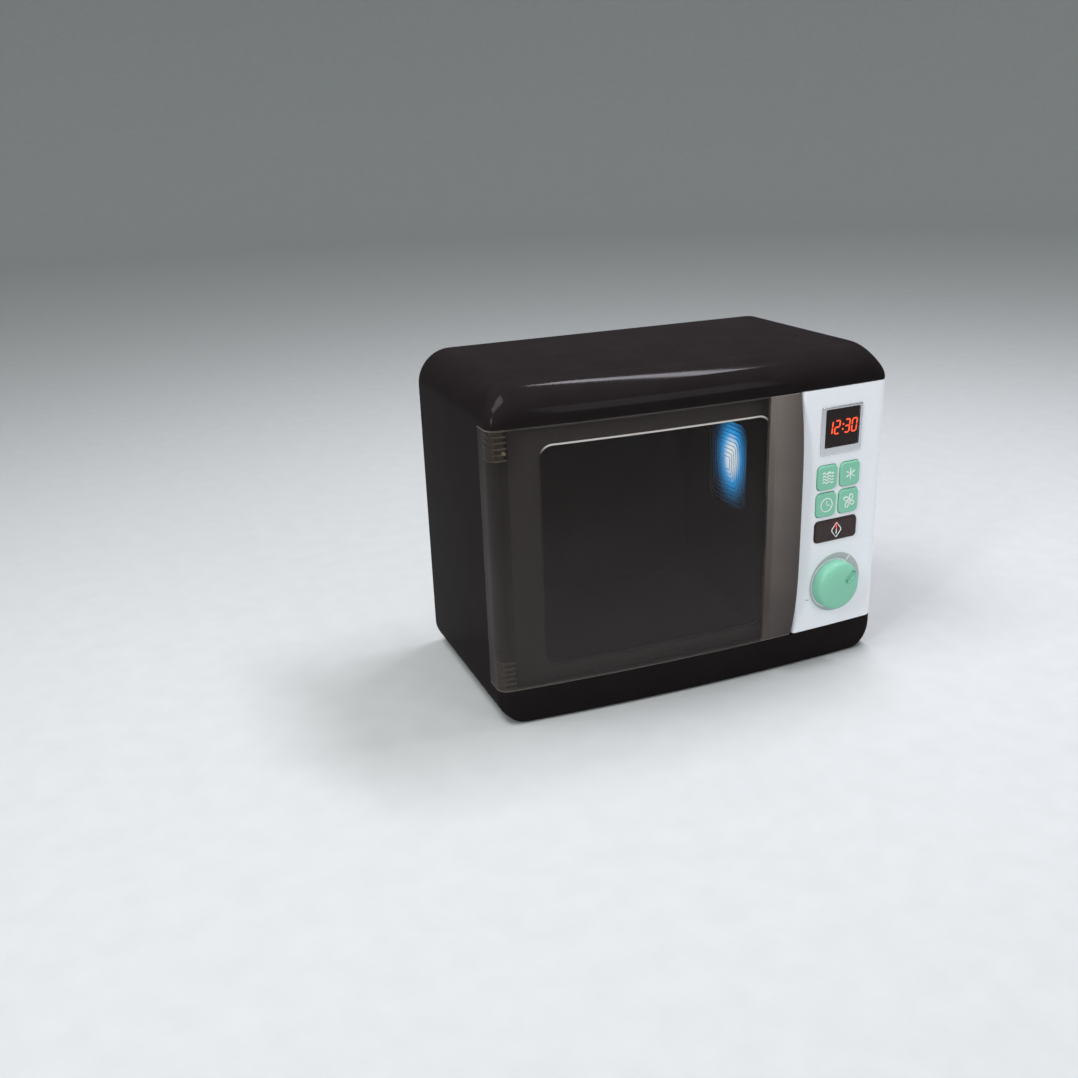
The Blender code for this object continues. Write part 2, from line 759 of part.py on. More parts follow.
def housing_shell():
    """The black moulding: top, sides, base and visor in one wall, open at the front and the back."""
    shell = part("housing_shell", shell_body(0.0, BODY_DEPTH), "black_shell")
    cavity = guide("housing_cavity", shell_body(SHELL_WALL, BODY_DEPTH - RIM_THICKNESS))
    reach = HALF + OVERRUN
    ledge_y = FRONT + LEDGE_DEPTH
    for name, low, high in (
            ("soffit", HEIGHT - VISOR_HEIGHT, HEIGHT - VISOR_HEIGHT + SHELL_WALL),
            ("ledge", BASE_HEIGHT - SHELL_WALL, BASE_HEIGHT)):
        cut(cavity, guide(name, block((-reach, FRONT - OVERRUN, low), (reach, ledge_y, high))))
    side_y = FRONT + WRAP_DEPTH + SEAT_GAP
    inner_x = HALF - SHELL_WALL
    plan = [(-reach, FRONT - OVERRUN), (reach, FRONT - OVERRUN), (reach, side_y), (HALF, side_y),
            (inner_x, side_y + SHELL_WALL), (-inner_x, side_y + SHELL_WALL), (-HALF, side_y),
            (-reach, side_y)]
    front_height = HEIGHT - VISOR_HEIGHT - BASE_HEIGHT
    front = plate([plan], front_height)
    front.transform(Matrix.Translation((0.0, 0.0, BASE_HEIGHT)))
    stop_y = COVER_Y - SEAT_GAP
    recess = guide("cover_recess", prism(shell_outline(COVER_INSET), stop_y, BACK + OVERRUN))
    way = guide("cover_way", prism(shell_outline(COVER_INSET + STOP_RIM),
                                   BACK - RIM_THICKNESS - OVERRUN, BACK + OVERRUN))
    cut(shell, cavity)
    for index, (x, z) in enumerate(boss_places()):
        wall_x = math.copysign(HALF - SHELL_WALL + JOIN, x)
        low = (min(x, wall_x), stop_y - BOSS_LENGTH + SHELL_WALL, z - SHELL_WALL / 2.0)
        high = (max(x, wall_x), stop_y - SHELL_WALL, z + SHELL_WALL / 2.0)
        post = guide(f"boss_{index}", rod((x, stop_y - BOSS_LENGTH, z), (x, stop_y - JOIN, z), BOSS_RADIUS))
        join(post, guide(f"boss_rib_{index}", block(low, high)))
        join(shell, post)
    cut(shell, guide("front_zone", front), recess, way)
    holes = [bore((x, stop_y - BOSS_LENGTH / 2.0, z), BACK) for x, z in boss_places()]
    hinge_y = FRONT + HINGE_DEPTH
    for low, high in ((BASE_HEIGHT - SHELL_WALL, BASE_HEIGHT),
                      (HEIGHT - VISOR_HEIGHT, HEIGHT - VISOR_HEIGHT + SHELL_WALL)):
        holes.append(rod((HINGE_X, hinge_y, low - SHELL_WALL), (HINGE_X, hinge_y, high + SHELL_WALL),
                         HINGE_PIN_RADIUS + SEAT_GAP, sides=SCREW_SIDES))
    cut(shell, guide("housing_holes", gather(holes)))


def wrap_path(depth_end, side):
    """The plan of the front's wrapped corner on one side, from its end on the side wall to the front."""
    points = []
    for depth in (depth_end, (depth_end + CORNER_ROUND) / 2.0):
        points.append((side * HALF, front_y(side * HALF, depth)))
    for step in range(CORNER_STEPS + 1):
        angle = math.pi / 2.0 * step / CORNER_STEPS
        x = side * (HALF - CORNER_ROUND * (1.0 - math.cos(angle)))
        points.append((x, front_y(x, CORNER_ROUND * (1.0 - math.sin(angle)))))
    return points


def edge_path(x, depth_end):
    """The plan of a rounded edge that turns from the front straight back at an x, to the right of it."""
    points = []
    for step in range(EDGE_STEPS + 1):
        angle = math.pi / 2.0 * step / EDGE_STEPS
        across = x - EDGE_ROUND * (1.0 - math.sin(angle))
        points.append((across, skin_y(across, EDGE_ROUND * (1.0 - math.cos(angle)))))
    points.append((x, skin_y(x, depth_end)))
    return points


def spaced(start, end, count):
    """Even steps from one value towards another, with both ends left out."""
    return [start + (end - start) * step / count for step in range(1, count)]


def grip_share(x):
    """How much of its full rise the grip has at an x."""
    if x <= GRIP_LEFT:
        return 0.0
    if x < GRIP_LEFT + GRIP_EDGE:
        return GRIP_EDGE_SHARE * (x - GRIP_LEFT) / GRIP_EDGE
    run = min((x - GRIP_LEFT - GRIP_EDGE) / (DOOR_RIGHT - GRIP_LEFT - GRIP_EDGE), 1.0)
    return GRIP_EDGE_SHARE + (1.0 - GRIP_EDGE_SHARE) * math.sin(math.pi / 2.0 * run)


def door_rows():
    """The door's outer surface: its plan at each level, with the grip swelling out towards mid height."""
    left = wrap_path(WRAP_DEPTH, -1.0)
    edge = edge_path(DOOR_RIGHT, DOOR_RETURN)
    across = spaced(left[-1][0], GRIP_LEFT, BOW_STEPS)
    across += [GRIP_LEFT, GRIP_LEFT + GRIP_EDGE]
    across += spaced(GRIP_LEFT + GRIP_EDGE, edge[0][0], GRIP_STATIONS)
    flat = left + [(x, front_y(x)) for x in across] + edge
    shares = [0.0] * len(left) + [grip_share(x) for x in across] + [1.0] * (len(edge) - 1) + [0.0]
    rows = []
    for level in range(DOOR_LEVELS + 1):
        swing = -math.cos(math.pi * level / DOOR_LEVELS)
        z = (DOOR_TOP + DOOR_BASE) / 2.0 + (DOOR_TOP - DOOR_BASE) / 2.0 * swing
        rise = GRIP_RISE * (1.0 - abs(swing) ** GRIP_END_POWER)
        rows.append([Vector((x, y - rise * share, z)) for (x, y), share in zip(flat, shares)])
    return rows


def hinge_blocks():
    """The ribbed blocks behind the door's left corners, and the bosses that hold the pins."""
    ribs = []
    bosses = []
    centre_x = -HALF + CORNER_ROUND
    radius = CORNER_ROUND - DOOR_WALL / 2.0
    plan = []
    for step in range(EDGE_STEPS + 1):
        angle = math.pi * (1.0 + step / EDGE_STEPS / 2.0)
        plan.append((centre_x + radius * math.cos(angle), FRONT + CORNER_ROUND + radius * math.sin(angle)))
    right = -HALF + HINGE_BLOCK_WIDTH
    back = FRONT + HINGE_BLOCK_DEPTH
    plan += [(right, front_y(right) + DOOR_WALL - JOIN), (right, back), (plan[0][0], back)]
    pitch = (HINGE_BLOCK_HEIGHT - HINGE_RIB) / (HINGE_RIBS - 1)
    for start in (DOOR_BASE, DOOR_TOP - HINGE_BLOCK_HEIGHT):
        for index in range(HINGE_RIBS):
            rib = plate([plan], HINGE_RIB)
            rib.transform(Matrix.Translation((0.0, 0.0, start + index * pitch)))
            ribs.append(rib)
        bosses.append(rod((HINGE_X, FRONT + HINGE_DEPTH, start + HINGE_RIB / 2.0),
                          (HINGE_X, FRONT + HINGE_DEPTH, start + HINGE_BLOCK_HEIGHT - HINGE_RIB / 2.0),
                          HINGE_BOSS_RADIUS))
    return gather(ribs), gather(bosses)


def hinge_pin_ends():
    """The lower and upper pin, as pairs of heights."""
    into_shell = SHELL_WALL - JOIN
    into_door = HINGE_BLOCK_HEIGHT - HINGE_RIB * 2.0
    return ((BASE_HEIGHT - into_shell, DOOR_BASE + into_door),
            (DOOR_TOP - into_door, HEIGHT - VISOR_HEIGHT + into_shell))


def door():
    """The smoked door: a bowed sheet wrapped round the left corner, with its grip, ribs and tongue."""
    hinge = (HINGE_X, FRONT + HINGE_DEPTH, (DOOR_BASE + DOOR_TOP) / 2.0)
    leaf = part("door", sheet(door_rows()), "smoked_clear")
    set_origin(leaf, hinge)
    walled(leaf, DOOR_WALL)
    ribs, bosses = hinge_blocks()
    blocks = join(guide("hinge_ribs", ribs), guide("hinge_bosses", bosses))
    tongue_z = (DOOR_BASE + DOOR_TOP) / 2.0
    near = front_y(TONGUE_X) - GRIP_RISE * grip_share(TONGUE_X) + DOOR_WALL - JOIN
    half_width = TONGUE_WIDTH / 2.0
    end = FRONT + TONGUE_REACH
    plan = [(-half_width, near), (half_width, near), (half_width, end - TONGUE_NOSE * 2.0),
            (half_width + TONGUE_HOOK, end - TONGUE_NOSE), (half_width * NOSE_SHARE, end),
            (-half_width * NOSE_SHARE, end), (-half_width - TONGUE_HOOK, end - TONGUE_NOSE),
            (-half_width, end - TONGUE_NOSE * 2.0)]
    tongue = plate([plan], TONGUE_HEIGHT)
    tongue.transform(Matrix.Translation((TONGUE_X, 0.0, tongue_z - TONGUE_HEIGHT / 2.0)))
    join(leaf, blocks, guide("door_tongue", tongue))
    holes = []
    for (low, high), below, above in zip(hinge_pin_ends(), (OVERRUN, JOIN), (JOIN, OVERRUN)):
        holes.append(rod((HINGE_X, hinge[1], low - below), (HINGE_X, hinge[1], high + above),
                         HINGE_PIN_RADIUS + SEAT_GAP, sides=SCREW_SIDES))
    cut(leaf, guide("hinge_holes", gather(holes)))
    for name, (low, high) in zip(("hinge_pin_lower", "hinge_pin_upper"), hinge_pin_ends()):
        pin = rod((HINGE_X, hinge[1], low), (HINGE_X, hinge[1], high), HINGE_PIN_RADIUS, sides=SCREW_SIDES)
        set_origin(part(name, pin, "steel"), hinge)


def front_frame():
    """The dark frame behind the door: the oven's opening, the tongue's slot and the hinge channel."""
    channel_y = FRONT + FRAME_RETURN
    path = [(-HALF + SHELL_WALL + SEAT_GAP, channel_y), (FRAME_LEFT, channel_y)]
    right = PANEL_LEFT - SEAT_GAP
    for x in [FRAME_LEFT] + spaced(FRAME_LEFT, right, BOW_STEPS) + [right]:
        path.append((x, skin_y(x, FRAME_DEPTH)))
    low, high = BASE_HEIGHT + SEAT_GAP, HEIGHT - VISOR_HEIGHT - SEAT_GAP
    rows = [[Vector((x, y, z)) for x, y in path] for z in (low, high)]
    frame = part("front_frame", sheet(rows), "dark_frame")
    walled(frame, FRAME_WALL)
    posts = []
    holes = []
    for x, z in ear_places():
        near = skin_y(x, FRAME_DEPTH)
        posts.append(rod((x, near + FRAME_WALL / 2.0, z), (x, EAR_Y - SEAT_GAP, z), BOSS_RADIUS))
        holes.append(bore((x, near + FRAME_WALL + JOIN, z), EAR_Y))
    join(frame, guide("frame_posts", gather(posts)))
    opening = rounded(OPENING_RIGHT - OPENING_LEFT, OPENING_TOP - OPENING_BASE, OPENING_ROUND)
    opening = moved(opening, (OPENING_RIGHT + OPENING_LEFT) / 2.0, (OPENING_TOP + OPENING_BASE) / 2.0)
    slot_z = (DOOR_BASE + DOOR_TOP) / 2.0
    gap = TONGUE_HOOK + CATCH_GAP
    slot = rounded(TONGUE_WIDTH + 2.0 * gap, TONGUE_HEIGHT + 2.0 * gap, gap, FINE_STEPS)
    slot = moved(slot, TONGUE_X, slot_z)
    reach = (FRONT - OVERRUN, FRONT + FRAME_DEPTH + OVERRUN)
    cut(frame, guide("oven_opening", prism(opening, *reach)), guide("tongue_slot", prism(slot, *reach)),
        guide("frame_screw_holes", gather(holes)))


def ear_places():
    """Where the oven's ears are screwed to the frame, as pairs of X and Z."""
    middle = (OVEN_FLOOR + OVEN_CEILING) / 2.0
    spread = (OVEN_CEILING - OVEN_FLOOR) / 2.0 * EAR_SPREAD_SHARE
    return [(x, middle + sense * spread) for x in (OVEN_LEFT - OVEN_WALL - EAR_OUT,
                                                      OVEN_RIGHT + OVEN_WALL + EAR_OUT)
            for sense in (-1.0, 1.0)]


def oven_ring(depth, grow):
    """One rounded section of the oven at a depth, grown by its wall."""
    left_in = rounding(OVEN_LEFT_ROUND + grow, OVEN_BACK + grow - depth)
    right_in = rounding(OVEN_RIGHT_ROUND + grow, OVEN_BACK + grow - depth)
    draft = OVEN_LEFT_DRAFT * max(depth, 0.0) / OVEN_BACK
    left = OVEN_LEFT - grow + draft + left_in
    right = OVEN_RIGHT + grow - right_in
    loop = rounded(right - left, OVEN_CEILING - OVEN_FLOOR + 2.0 * grow, OPENING_ROUND + grow)
    loop = moved(loop, (left + right) / 2.0, (OVEN_CEILING + OVEN_FLOOR) / 2.0)
    return [Vector((x, FRONT + depth, z)) for x, z in loop]


def oven_body(grow, start):
    """The oven's closed form, from its mouth to its rounded back."""
    rings = [oven_ring(start, grow), oven_ring(OVEN_BACK - OVEN_LEFT_ROUND, grow)]
    for step in range(1, OVEN_ROUND_STEPS + 1):
        share = math.sin(math.pi / 2.0 * step / OVEN_ROUND_STEPS)
        depth = OVEN_BACK - OVEN_LEFT_ROUND + (OVEN_LEFT_ROUND + grow) * share
        rings.append(oven_ring(depth, grow))
    return loft(rings)


def oven_cavity():
    """The oven's liner behind the frame, with its mouth flange, lamp hole and screw ears."""
    mouth = FRAME_DEPTH + FRAME_WALL + SEAT_GAP
    oven = part("oven_cavity", oven_body(OVEN_WALL, mouth - BOW - JOIN), "oven_black")
    grow = OVEN_WALL + OVEN_FLANGE
    left, right = OVEN_LEFT - grow, OVEN_RIGHT + grow
    stations = [left] + spaced(left, right, BOW_STEPS) + [right]
    low, high = OVEN_FLOOR - grow, OVEN_CEILING + grow
    rows = [[Vector((x, skin_y(x, mouth), z)) for x in stations] for z in (low, high)]
    flange = walled(guide("oven_flange", sheet(rows)), OVEN_WALL)
    stations[0] -= OVERRUN
    stations[-1] += OVERRUN
    rows = [[Vector((x, skin_y(x, mouth + OVEN_WALL / 2.0 - OVERRUN), z)) for x in stations]
            for z in (low - OVERRUN, high + OVERRUN)]
    cut(oven, walled(guide("oven_front", sheet(rows)), OVERRUN))
    ears = []
    holes = []
    for x, z in ear_places():
        drafted = OVEN_LEFT - OVEN_WALL + OVEN_LEFT_DRAFT * EAR_DEPTH / OVEN_BACK
        inner = drafted if x < 0.0 else OVEN_RIGHT + OVEN_WALL
        inner -= math.copysign(JOIN, x)
        outer = x + math.copysign(EAR_HALF, x)
        ears.append(block((min(inner, outer), EAR_Y, z - EAR_HALF),
                          (max(inner, outer), EAR_Y + OVEN_WALL, z + EAR_HALF)))
        holes.append(bore((x, EAR_Y - OVERRUN, z), EAR_Y + OVERRUN))
    join(oven, flange, guide("oven_ears", gather(ears)))
    lens_hole = rounded(LENS_WIDTH + 2.0 * SEAT_GAP, LENS_HEIGHT + 2.0 * SEAT_GAP, LENS_ROUND + SEAT_GAP)
    lens_way = side_on(plate([lens_hole], OVEN_WALL + OVERRUN),
                       (OVEN_RIGHT - OVERRUN / 2.0, FRONT + LENS_DEPTH, LENS_Z))
    cut(oven, guide("oven_space", oven_body(0.0, -OVERRUN)), guide("lens_hole", lens_way),
        guide("ear_holes", gather(holes)))
    screws("frame_screw", ear_places(), EAR_Y + OVEN_WALL + SEAT_GAP, EAR_SCREW_LENGTH)


def door_catch():
    """The jaws behind the frame's slot that hold the door's tongue."""
    near = skin_y(TONGUE_X, FRAME_DEPTH + FRAME_WALL + SEAT_GAP) + CATCH_SEAT
    gap = TONGUE_HOOK + CATCH_GAP
    middle = (DOOR_BASE + DOOR_TOP) / 2.0
    width = TONGUE_WIDTH + 2.0 * gap
    height = TONGUE_HEIGHT + 2.0 * gap
    outer = rounded(width + 2.0 * CATCH_WALL, height + 2.0 * CATCH_END, CATCH_WALL, FINE_STEPS)
    inner = rounded(width, height, gap, FINE_STEPS)
    catch = plate([moved(outer, TONGUE_X, middle), moved(inner, TONGUE_X, middle)], CATCH_LENGTH)
    part("door_catch", upright(catch, (0.0, near, 0.0)), "white_plastic")


def window_loop(grow):
    """The display window's outline in X and Z, grown all round."""
    loop = rounded(WINDOW_WIDTH + 2.0 * grow, WINDOW_HEIGHT + 2.0 * grow, BEZEL_ROUND, FINE_STEPS)
    return moved(loop, WINDOW_X, WINDOW_Z)


def panel_openings():
    """Each opening in the panel's face, as an outline in X and Z."""
    loops = [window_loop(SLIDE_GAP)]
    for _, x, z, width, height, radius in button_places():
        loop = rounded(width + 2.0 * SLIDE_GAP, height + 2.0 * SLIDE_GAP, radius + SLIDE_GAP, BUTTON_STEPS)
        loops.append(moved(loop, x, z))
    loops.append(circle(KNOB_SHAFT_RADIUS + SLIDE_GAP * 2.0, ROD_SIDES, (COLUMN_X, KNOB_Z)))
    return loops


def button_places():
    """Each button's node name, centre, size and corner radius."""
    places = []
    names = (("wave", "snow"), ("clock", "fan"))
    for row, pair in enumerate(names):
        for column, name in enumerate(pair):
            x = COLUMN_X + (column - 1.0 / 2.0) * BUTTON_PITCH_X
            z = BUTTON_Z - (row - 1.0 / 2.0) * BUTTON_PITCH_Z
            places.append((f"button_{name}", x, z, BUTTON_WIDTH, BUTTON_HEIGHT, BUTTON_ROUND))
    places.append(("button_start", COLUMN_X, START_Z, START_WIDTH, START_HEIGHT, START_ROUND))
    return places


def post_places():
    """Where the board is screwed to the panel's posts, as pairs of X and Z."""
    across = BOARD_WIDTH / 2.0 - BOARD_HOLE_INSET
    return [(COLUMN_X + side * across, z) for side in (-1.0, 1.0)
            for z in (BOARD_BASE_Z + BOARD_HOLE_INSET, BOARD_TOP_Z - BOARD_HOLE_INSET)]


def knob_matrix():
    """The knob's frame on the panel: X to the right, Y up and Z straight out of the bowed front."""
    across = Vector((math.cos(KNOB_TILT), math.sin(KNOB_TILT), 0.0))
    out = Vector((math.sin(KNOB_TILT), -math.cos(KNOB_TILT), 0.0))
    turn = Matrix((across, Vector((0.0, 0.0, 1.0)), out)).transposed().to_4x4()
    return Matrix.Translation((COLUMN_X, front_y(COLUMN_X), KNOB_Z)) @ turn


def control_panel():
    """The white panel, wrapped round the right corner, with its openings and the board's posts."""
    left = [(2.0 * PANEL_LEFT - x, skin_y(2.0 * PANEL_LEFT - x, y - skin_y(x, 0.0)))
            for x, y in edge_path(PANEL_LEFT, PANEL_RETURN)][::-1]
    right = wrap_path(WRAP_DEPTH, 1.0)[::-1]
    across = spaced(left[-1][0], right[0][0], BOW_STEPS)
    path = left + [(x, front_y(x)) for x in across] + right
    low, high = DOOR_BASE, DOOR_TOP
    rows = [[Vector((x, y, z)) for x, y in path] for z in (low, high)]
    panel = part("control_panel", sheet(rows), "panel_white")
    walled(panel, PANEL_WALL)
    posts = []
    holes = [prism(loop, FRONT - OVERRUN, FRONT + OVERRUN / 2.0) for loop in panel_openings()]
    for x, z in post_places():
        near = skin_y(x, PANEL_WALL)
        posts.append(rod((x, near - JOIN, z), (x, BOARD_Y - SEAT_GAP, z), POST_RADIUS, sides=SCREW_SIDES))
        holes.append(bore((x, near + JOIN, z), BOARD_Y))
    foot = (SPRING_FOOT_X, SPRING_FOOT_Z)
    seat = -WHEEL_BACKSET
    shoulder = rod((*foot, JOIN - PANEL_WALL), (*foot, seat + SEAT_GAP), SPRING_PIN_RADIUS * 2.0)
    pin = rod((*foot, seat), (*foot, seat - WHEEL_THICKNESS - 2.0 * SEAT_GAP), SPRING_PIN_RADIUS,
              sides=SCREW_SIDES)
    joint = rod((*foot, seat + JOIN), (*foot, seat - JOIN), SPRING_PIN_RADIUS, sides=SCREW_SIDES)
    for mesh in (shoulder, pin, joint):
        mesh.transform(knob_matrix())
    join(panel, guide("board_posts", gather(posts)), guide("spring_shoulder", shoulder))
    join(panel, guide("spring_neck", joint), guide("spring_pin", pin))
    cut(panel, guide("panel_holes", gather(holes)))


def display():
    """The silver bezel, the dark window in it, and the module behind the window."""
    height = BEZEL_TOP + BEZEL_BASE
    centre = (WINDOW_X + BEZEL_SHIFT, WINDOW_Z + (BEZEL_TOP - BEZEL_BASE) / 2.0)
    outer = moved(rounded(BEZEL_WIDTH, height, BEZEL_ROUND, FINE_STEPS), *centre)
    inner = rounded(BEZEL_WIDTH - BEZEL_THICKNESS, height - BEZEL_THICKNESS, BEZEL_ROUND, FINE_STEPS)
    inner = moved(inner, *centre)
    front = -SEAT_GAP - BEZEL_THICKNESS
    bezel = part("display_bezel", loft([follow(inner, front), follow(outer, front + BEZEL_THICKNESS / 2.0),
                                        follow(outer, -SEAT_GAP)]), "silver")
    cut(bezel, guide("bezel_way", prism(window_loop(SEAT_GAP), FRONT - OVERRUN, FRONT + OVERRUN)))
    glass = window_loop(0.0)
    lip = window_loop(WINDOW_LIP + SLIDE_GAP)
    back = PANEL_WALL + SEAT_GAP
    part("display_window", loft([follow(glass, -SEAT_GAP), follow(glass, back), follow(lip, back),
                                 follow(lip, back + WINDOW_LIP)]), "window_dark")
    half_width = WINDOW_WIDTH / 2.0 + MODULE_MARGIN
    half_height = WINDOW_HEIGHT / 2.0 + MODULE_MARGIN
    near = skin_y(WINDOW_X + half_width, back + WINDOW_LIP + SEAT_GAP)
    module = block((WINDOW_X - half_width, near, WINDOW_Z - half_height),
                   (WINDOW_X + half_width, BOARD_Y - SEAT_GAP, WINDOW_Z + half_height))
    part("display_module", module, "start_black")


def buttons():
    """The five buttons: rounded caps that follow the bow, their flanges behind the panel, and stems."""
    for name, x, z, width, height, radius in button_places():
        rings = []
        flange = PANEL_WALL + SEAT_GAP
        profile = []
        for step in range(BUTTON_STEPS + 1):
            angle = math.pi / 2.0 * step / BUTTON_STEPS
            profile.append((BUTTON_EDGE * (1.0 - math.cos(angle)) - BUTTON_PROUD,
                            BUTTON_EDGE * (1.0 - math.sin(angle))))
        profile += [(flange, 0.0), (flange, -BUTTON_FLANGE)]
        profile.append((flange + BUTTON_FLANGE_THICKNESS, -BUTTON_FLANGE))
        for depth, inset in profile:
            corner = max(radius - inset, JOIN)
            loop = rounded(width - 2.0 * inset, height - 2.0 * inset, corner, BUTTON_STEPS)
            rings.append(follow(moved(loop, x, z), depth))
        start = name == "button_start"
        cap = part(name, loft(rings), "start_black" if start else "mint")
        set_origin(cap, (x, front_y(x), z))
        offsets = (-START_STEM_SPREAD / 2.0, START_STEM_SPREAD / 2.0) if start else (0.0,)
        stems = [rod((x + offset, skin_y(x + offset, flange), z), (x + offset, STEM_END, z), STEM_RADIUS,
                     sides=SCREW_SIDES) for offset in offsets]
        join(cap, guide(f"{name}_stem", gather(stems)))


def stem_places():
    """The centre of each stem and its dome, as pairs of X and Z."""
    places = [(x, z) for name, x, z, *_ in button_places() if name != "button_start"]
    return places + [(COLUMN_X + side * START_STEM_SPREAD / 2.0, START_Z) for side in (-1.0, 1.0)]


def electronics():
    """The rubber keypad, the circuit board behind it, its chip, the start lamp and the board's screws."""
    pad_near = BOARD_Y - SEAT_GAP - PAD_THICKNESS
    lamp_width = LAMP_CHIP_WIDTH + 2.0 * LAMP_CHIP_GAP
    lamp_hole = rounded(lamp_width, lamp_width, SEAT_GAP, 1)
    outline = rounded(PAD_WIDTH, PAD_TOP_Z - PAD_BASE_Z, PAD_ROUND, BUTTON_STEPS)
    sheet_mesh = plate([moved(outline, COLUMN_X, (PAD_TOP_Z + PAD_BASE_Z) / 2.0),
                        moved(lamp_hole, COLUMN_X, START_Z)], PAD_THICKNESS)
    pad = part("keypad", upright(sheet_mesh, (0.0, pad_near, 0.0)), "rubber_grey")
    domes = [rod((x, pad_near + JOIN, z), (x, pad_near - DOME_HEIGHT, z), DOME_RADIUS, DOME_TOP_RADIUS,
                 sides=SCREW_SIDES) for x, z in stem_places()]
    join(pad, guide("keypad_domes", gather(domes)))
    outline = rounded(BOARD_WIDTH, BOARD_TOP_Z - BOARD_BASE_Z, BOARD_THICKNESS, 1)
    holes = [circle(SCREW_RADIUS + SEAT_GAP, SCREW_SIDES, place) for place in post_places()]
    board = plate([moved(outline, COLUMN_X, (BOARD_TOP_Z + BOARD_BASE_Z) / 2.0)] + holes, BOARD_THICKNESS)
    part("circuit_board", upright(board, (0.0, BOARD_Y, 0.0)), "board_green")
    board_back = BOARD_Y + BOARD_THICKNESS + SEAT_GAP
    dome = [(0.0, CHIP_HEIGHT), (CHIP_RADIUS / 2.0, CHIP_HEIGHT * DOME_SHARES[0]),
            (CHIP_RADIUS * DOME_SHARES[0], CHIP_HEIGHT / 2.0), (CHIP_RADIUS, 0.0), (0.0, 0.0)]
    turned("chip", dome, "start_black", (COLUMN_X, board_back, BUTTON_Z), (0.0, 1.0, 0.0), SMALL_TURN_STEPS)
    half = LAMP_CHIP_WIDTH / 2.0
    lamp_back = BOARD_Y - SEAT_GAP
    part("start_lamp", block((COLUMN_X - half, lamp_back - LAMP_CHIP_HEIGHT, START_Z - half),
                             (COLUMN_X + half, lamp_back, START_Z + half)), "lens_clear")
    screws("board_screw", post_places(), board_back, BOARD_SCREW_LENGTH)


def timer():
    """The timer knob on its tilted shaft, with the toothed click wheel, its screw and the click spring."""
    frame = knob_matrix()
    out = frame.to_3x3() @ Vector((0.0, 0.0, 1.0))
    place = frame.translation
    hollow = KNOB_RADIUS - KNOB_WALL
    profile = [(KNOB_RADIUS * across, KNOB_LIFT + (KNOB_HEIGHT - KNOB_LIFT) * rise)
               for across, rise in KNOB_SHARES]
    profile += [(KNOB_RADIUS, KNOB_LIFT), (hollow, KNOB_LIFT), (hollow, KNOB_HEIGHT - KNOB_WALL * 2.0),
                (KNOB_HUB_RADIUS, KNOB_HEIGHT - KNOB_WALL * 2.0), (KNOB_HUB_RADIUS, KNOB_LIFT),
                (KNOB_SHAFT_RADIUS, KNOB_LIFT), (KNOB_SHAFT_RADIUS, -KNOB_SHAFT_LENGTH),
                (0.0, -KNOB_SHAFT_LENGTH)]
    knob = turned("knob", profile, "mint", place, out, KNOB_STEPS)
    slot = rounded(SLOT_END - SLOT_START, SLOT_WIDTH, SLOT_ROUND, BUTTON_STEPS)
    slot = plate([moved(slot, (SLOT_END + SLOT_START) / 2.0, 0.0)], OVERRUN)
    raised = Matrix.Translation((0.0, 0.0, KNOB_HEIGHT - SLOT_FLOOR))
    slot.transform(frame @ Matrix.Rotation(SLOT_ANGLE, 4, "Z") @ raised)
    hole = rod((0.0, 0.0, -KNOB_SHAFT_LENGTH - JOIN), (0.0, 0.0, KNOB_SCREW_TIP - JOIN),
               SCREW_RADIUS + SEAT_GAP, sides=SCREW_SIDES)
    hole.transform(frame)
    cut(knob, guide("knob_slot", slot), guide("knob_hole", hole))
    count = WHEEL_TEETH * WHEEL_TOOTH_POINTS
    outline = []
    for step in range(count):
        angle = math.tau * step / count
        radius = WHEEL_RADIUS + WHEEL_TOOTH * math.cos(WHEEL_TEETH * angle)
        outline.append((radius * math.cos(angle), radius * math.sin(angle)))
    wheel = plate([outline, circle(KNOB_SHAFT_RADIUS + SEAT_GAP, ROD_SIDES)], WHEEL_THICKNESS)
    wheel.transform(Matrix.Translation((0.0, 0.0, -WHEEL_BACKSET - WHEEL_THICKNESS)))
    part("click_wheel", wheel, "white_plastic", False).matrix_world = frame
    seat = -KNOB_SHAFT_LENGTH - SEAT_GAP
    point = KNOB_SCREW_TIP - 2.0 * SEAT_GAP
    washer = seat - WASHER_THICKNESS
    pan = [(0.0, point), (SCREW_RADIUS, point - SCREW_RADIUS), (SCREW_RADIUS, seat), (WASHER_RADIUS, seat),
           (WASHER_RADIUS, washer), (SCREW_HEAD_RADIUS, washer),
           (SCREW_HEAD_RADIUS, washer - SCREW_HEAD_HEIGHT), (0.0, washer - SCREW_HEAD_HEIGHT)]
    turned("knob_screw", pan, "steel", place, out, SCREW_SIDES)
    tip = WHEEL_RADIUS + WHEEL_TOOTH + SEAT_GAP
    arm = tip + SPRING_NOSE
    half_foot = SPRING_FOOT_WIDTH / 2.0
    foot_top = SPRING_FOOT_Z + half_foot
    left, right = SPRING_FOOT_X - half_foot, SPRING_FOOT_X + half_foot
    leaf = [(left, SPRING_FOOT_Z - half_foot), (right, SPRING_FOOT_Z - half_foot), (right, arm),
            (-SPRING_NOSE, arm), (0.0, tip), (SPRING_NOSE, arm), (SPRING_ARM_END, arm),
            (SPRING_ARM_END, arm + SPRING_LEAF), (right, arm + SPRING_LEAF), (right, foot_top),
            (left, foot_top)]
    hole = circle(SPRING_PIN_RADIUS + SEAT_GAP, SCREW_SIDES, (SPRING_FOOT_X, SPRING_FOOT_Z))
    spring = plate([leaf, hole], WHEEL_THICKNESS - SEAT_GAP)
    spring.transform(Matrix.Translation((0.0, 0.0, -WHEEL_BACKSET - WHEEL_THICKNESS)))
    part("click_spring", spring, "steel", False).matrix_world = frame


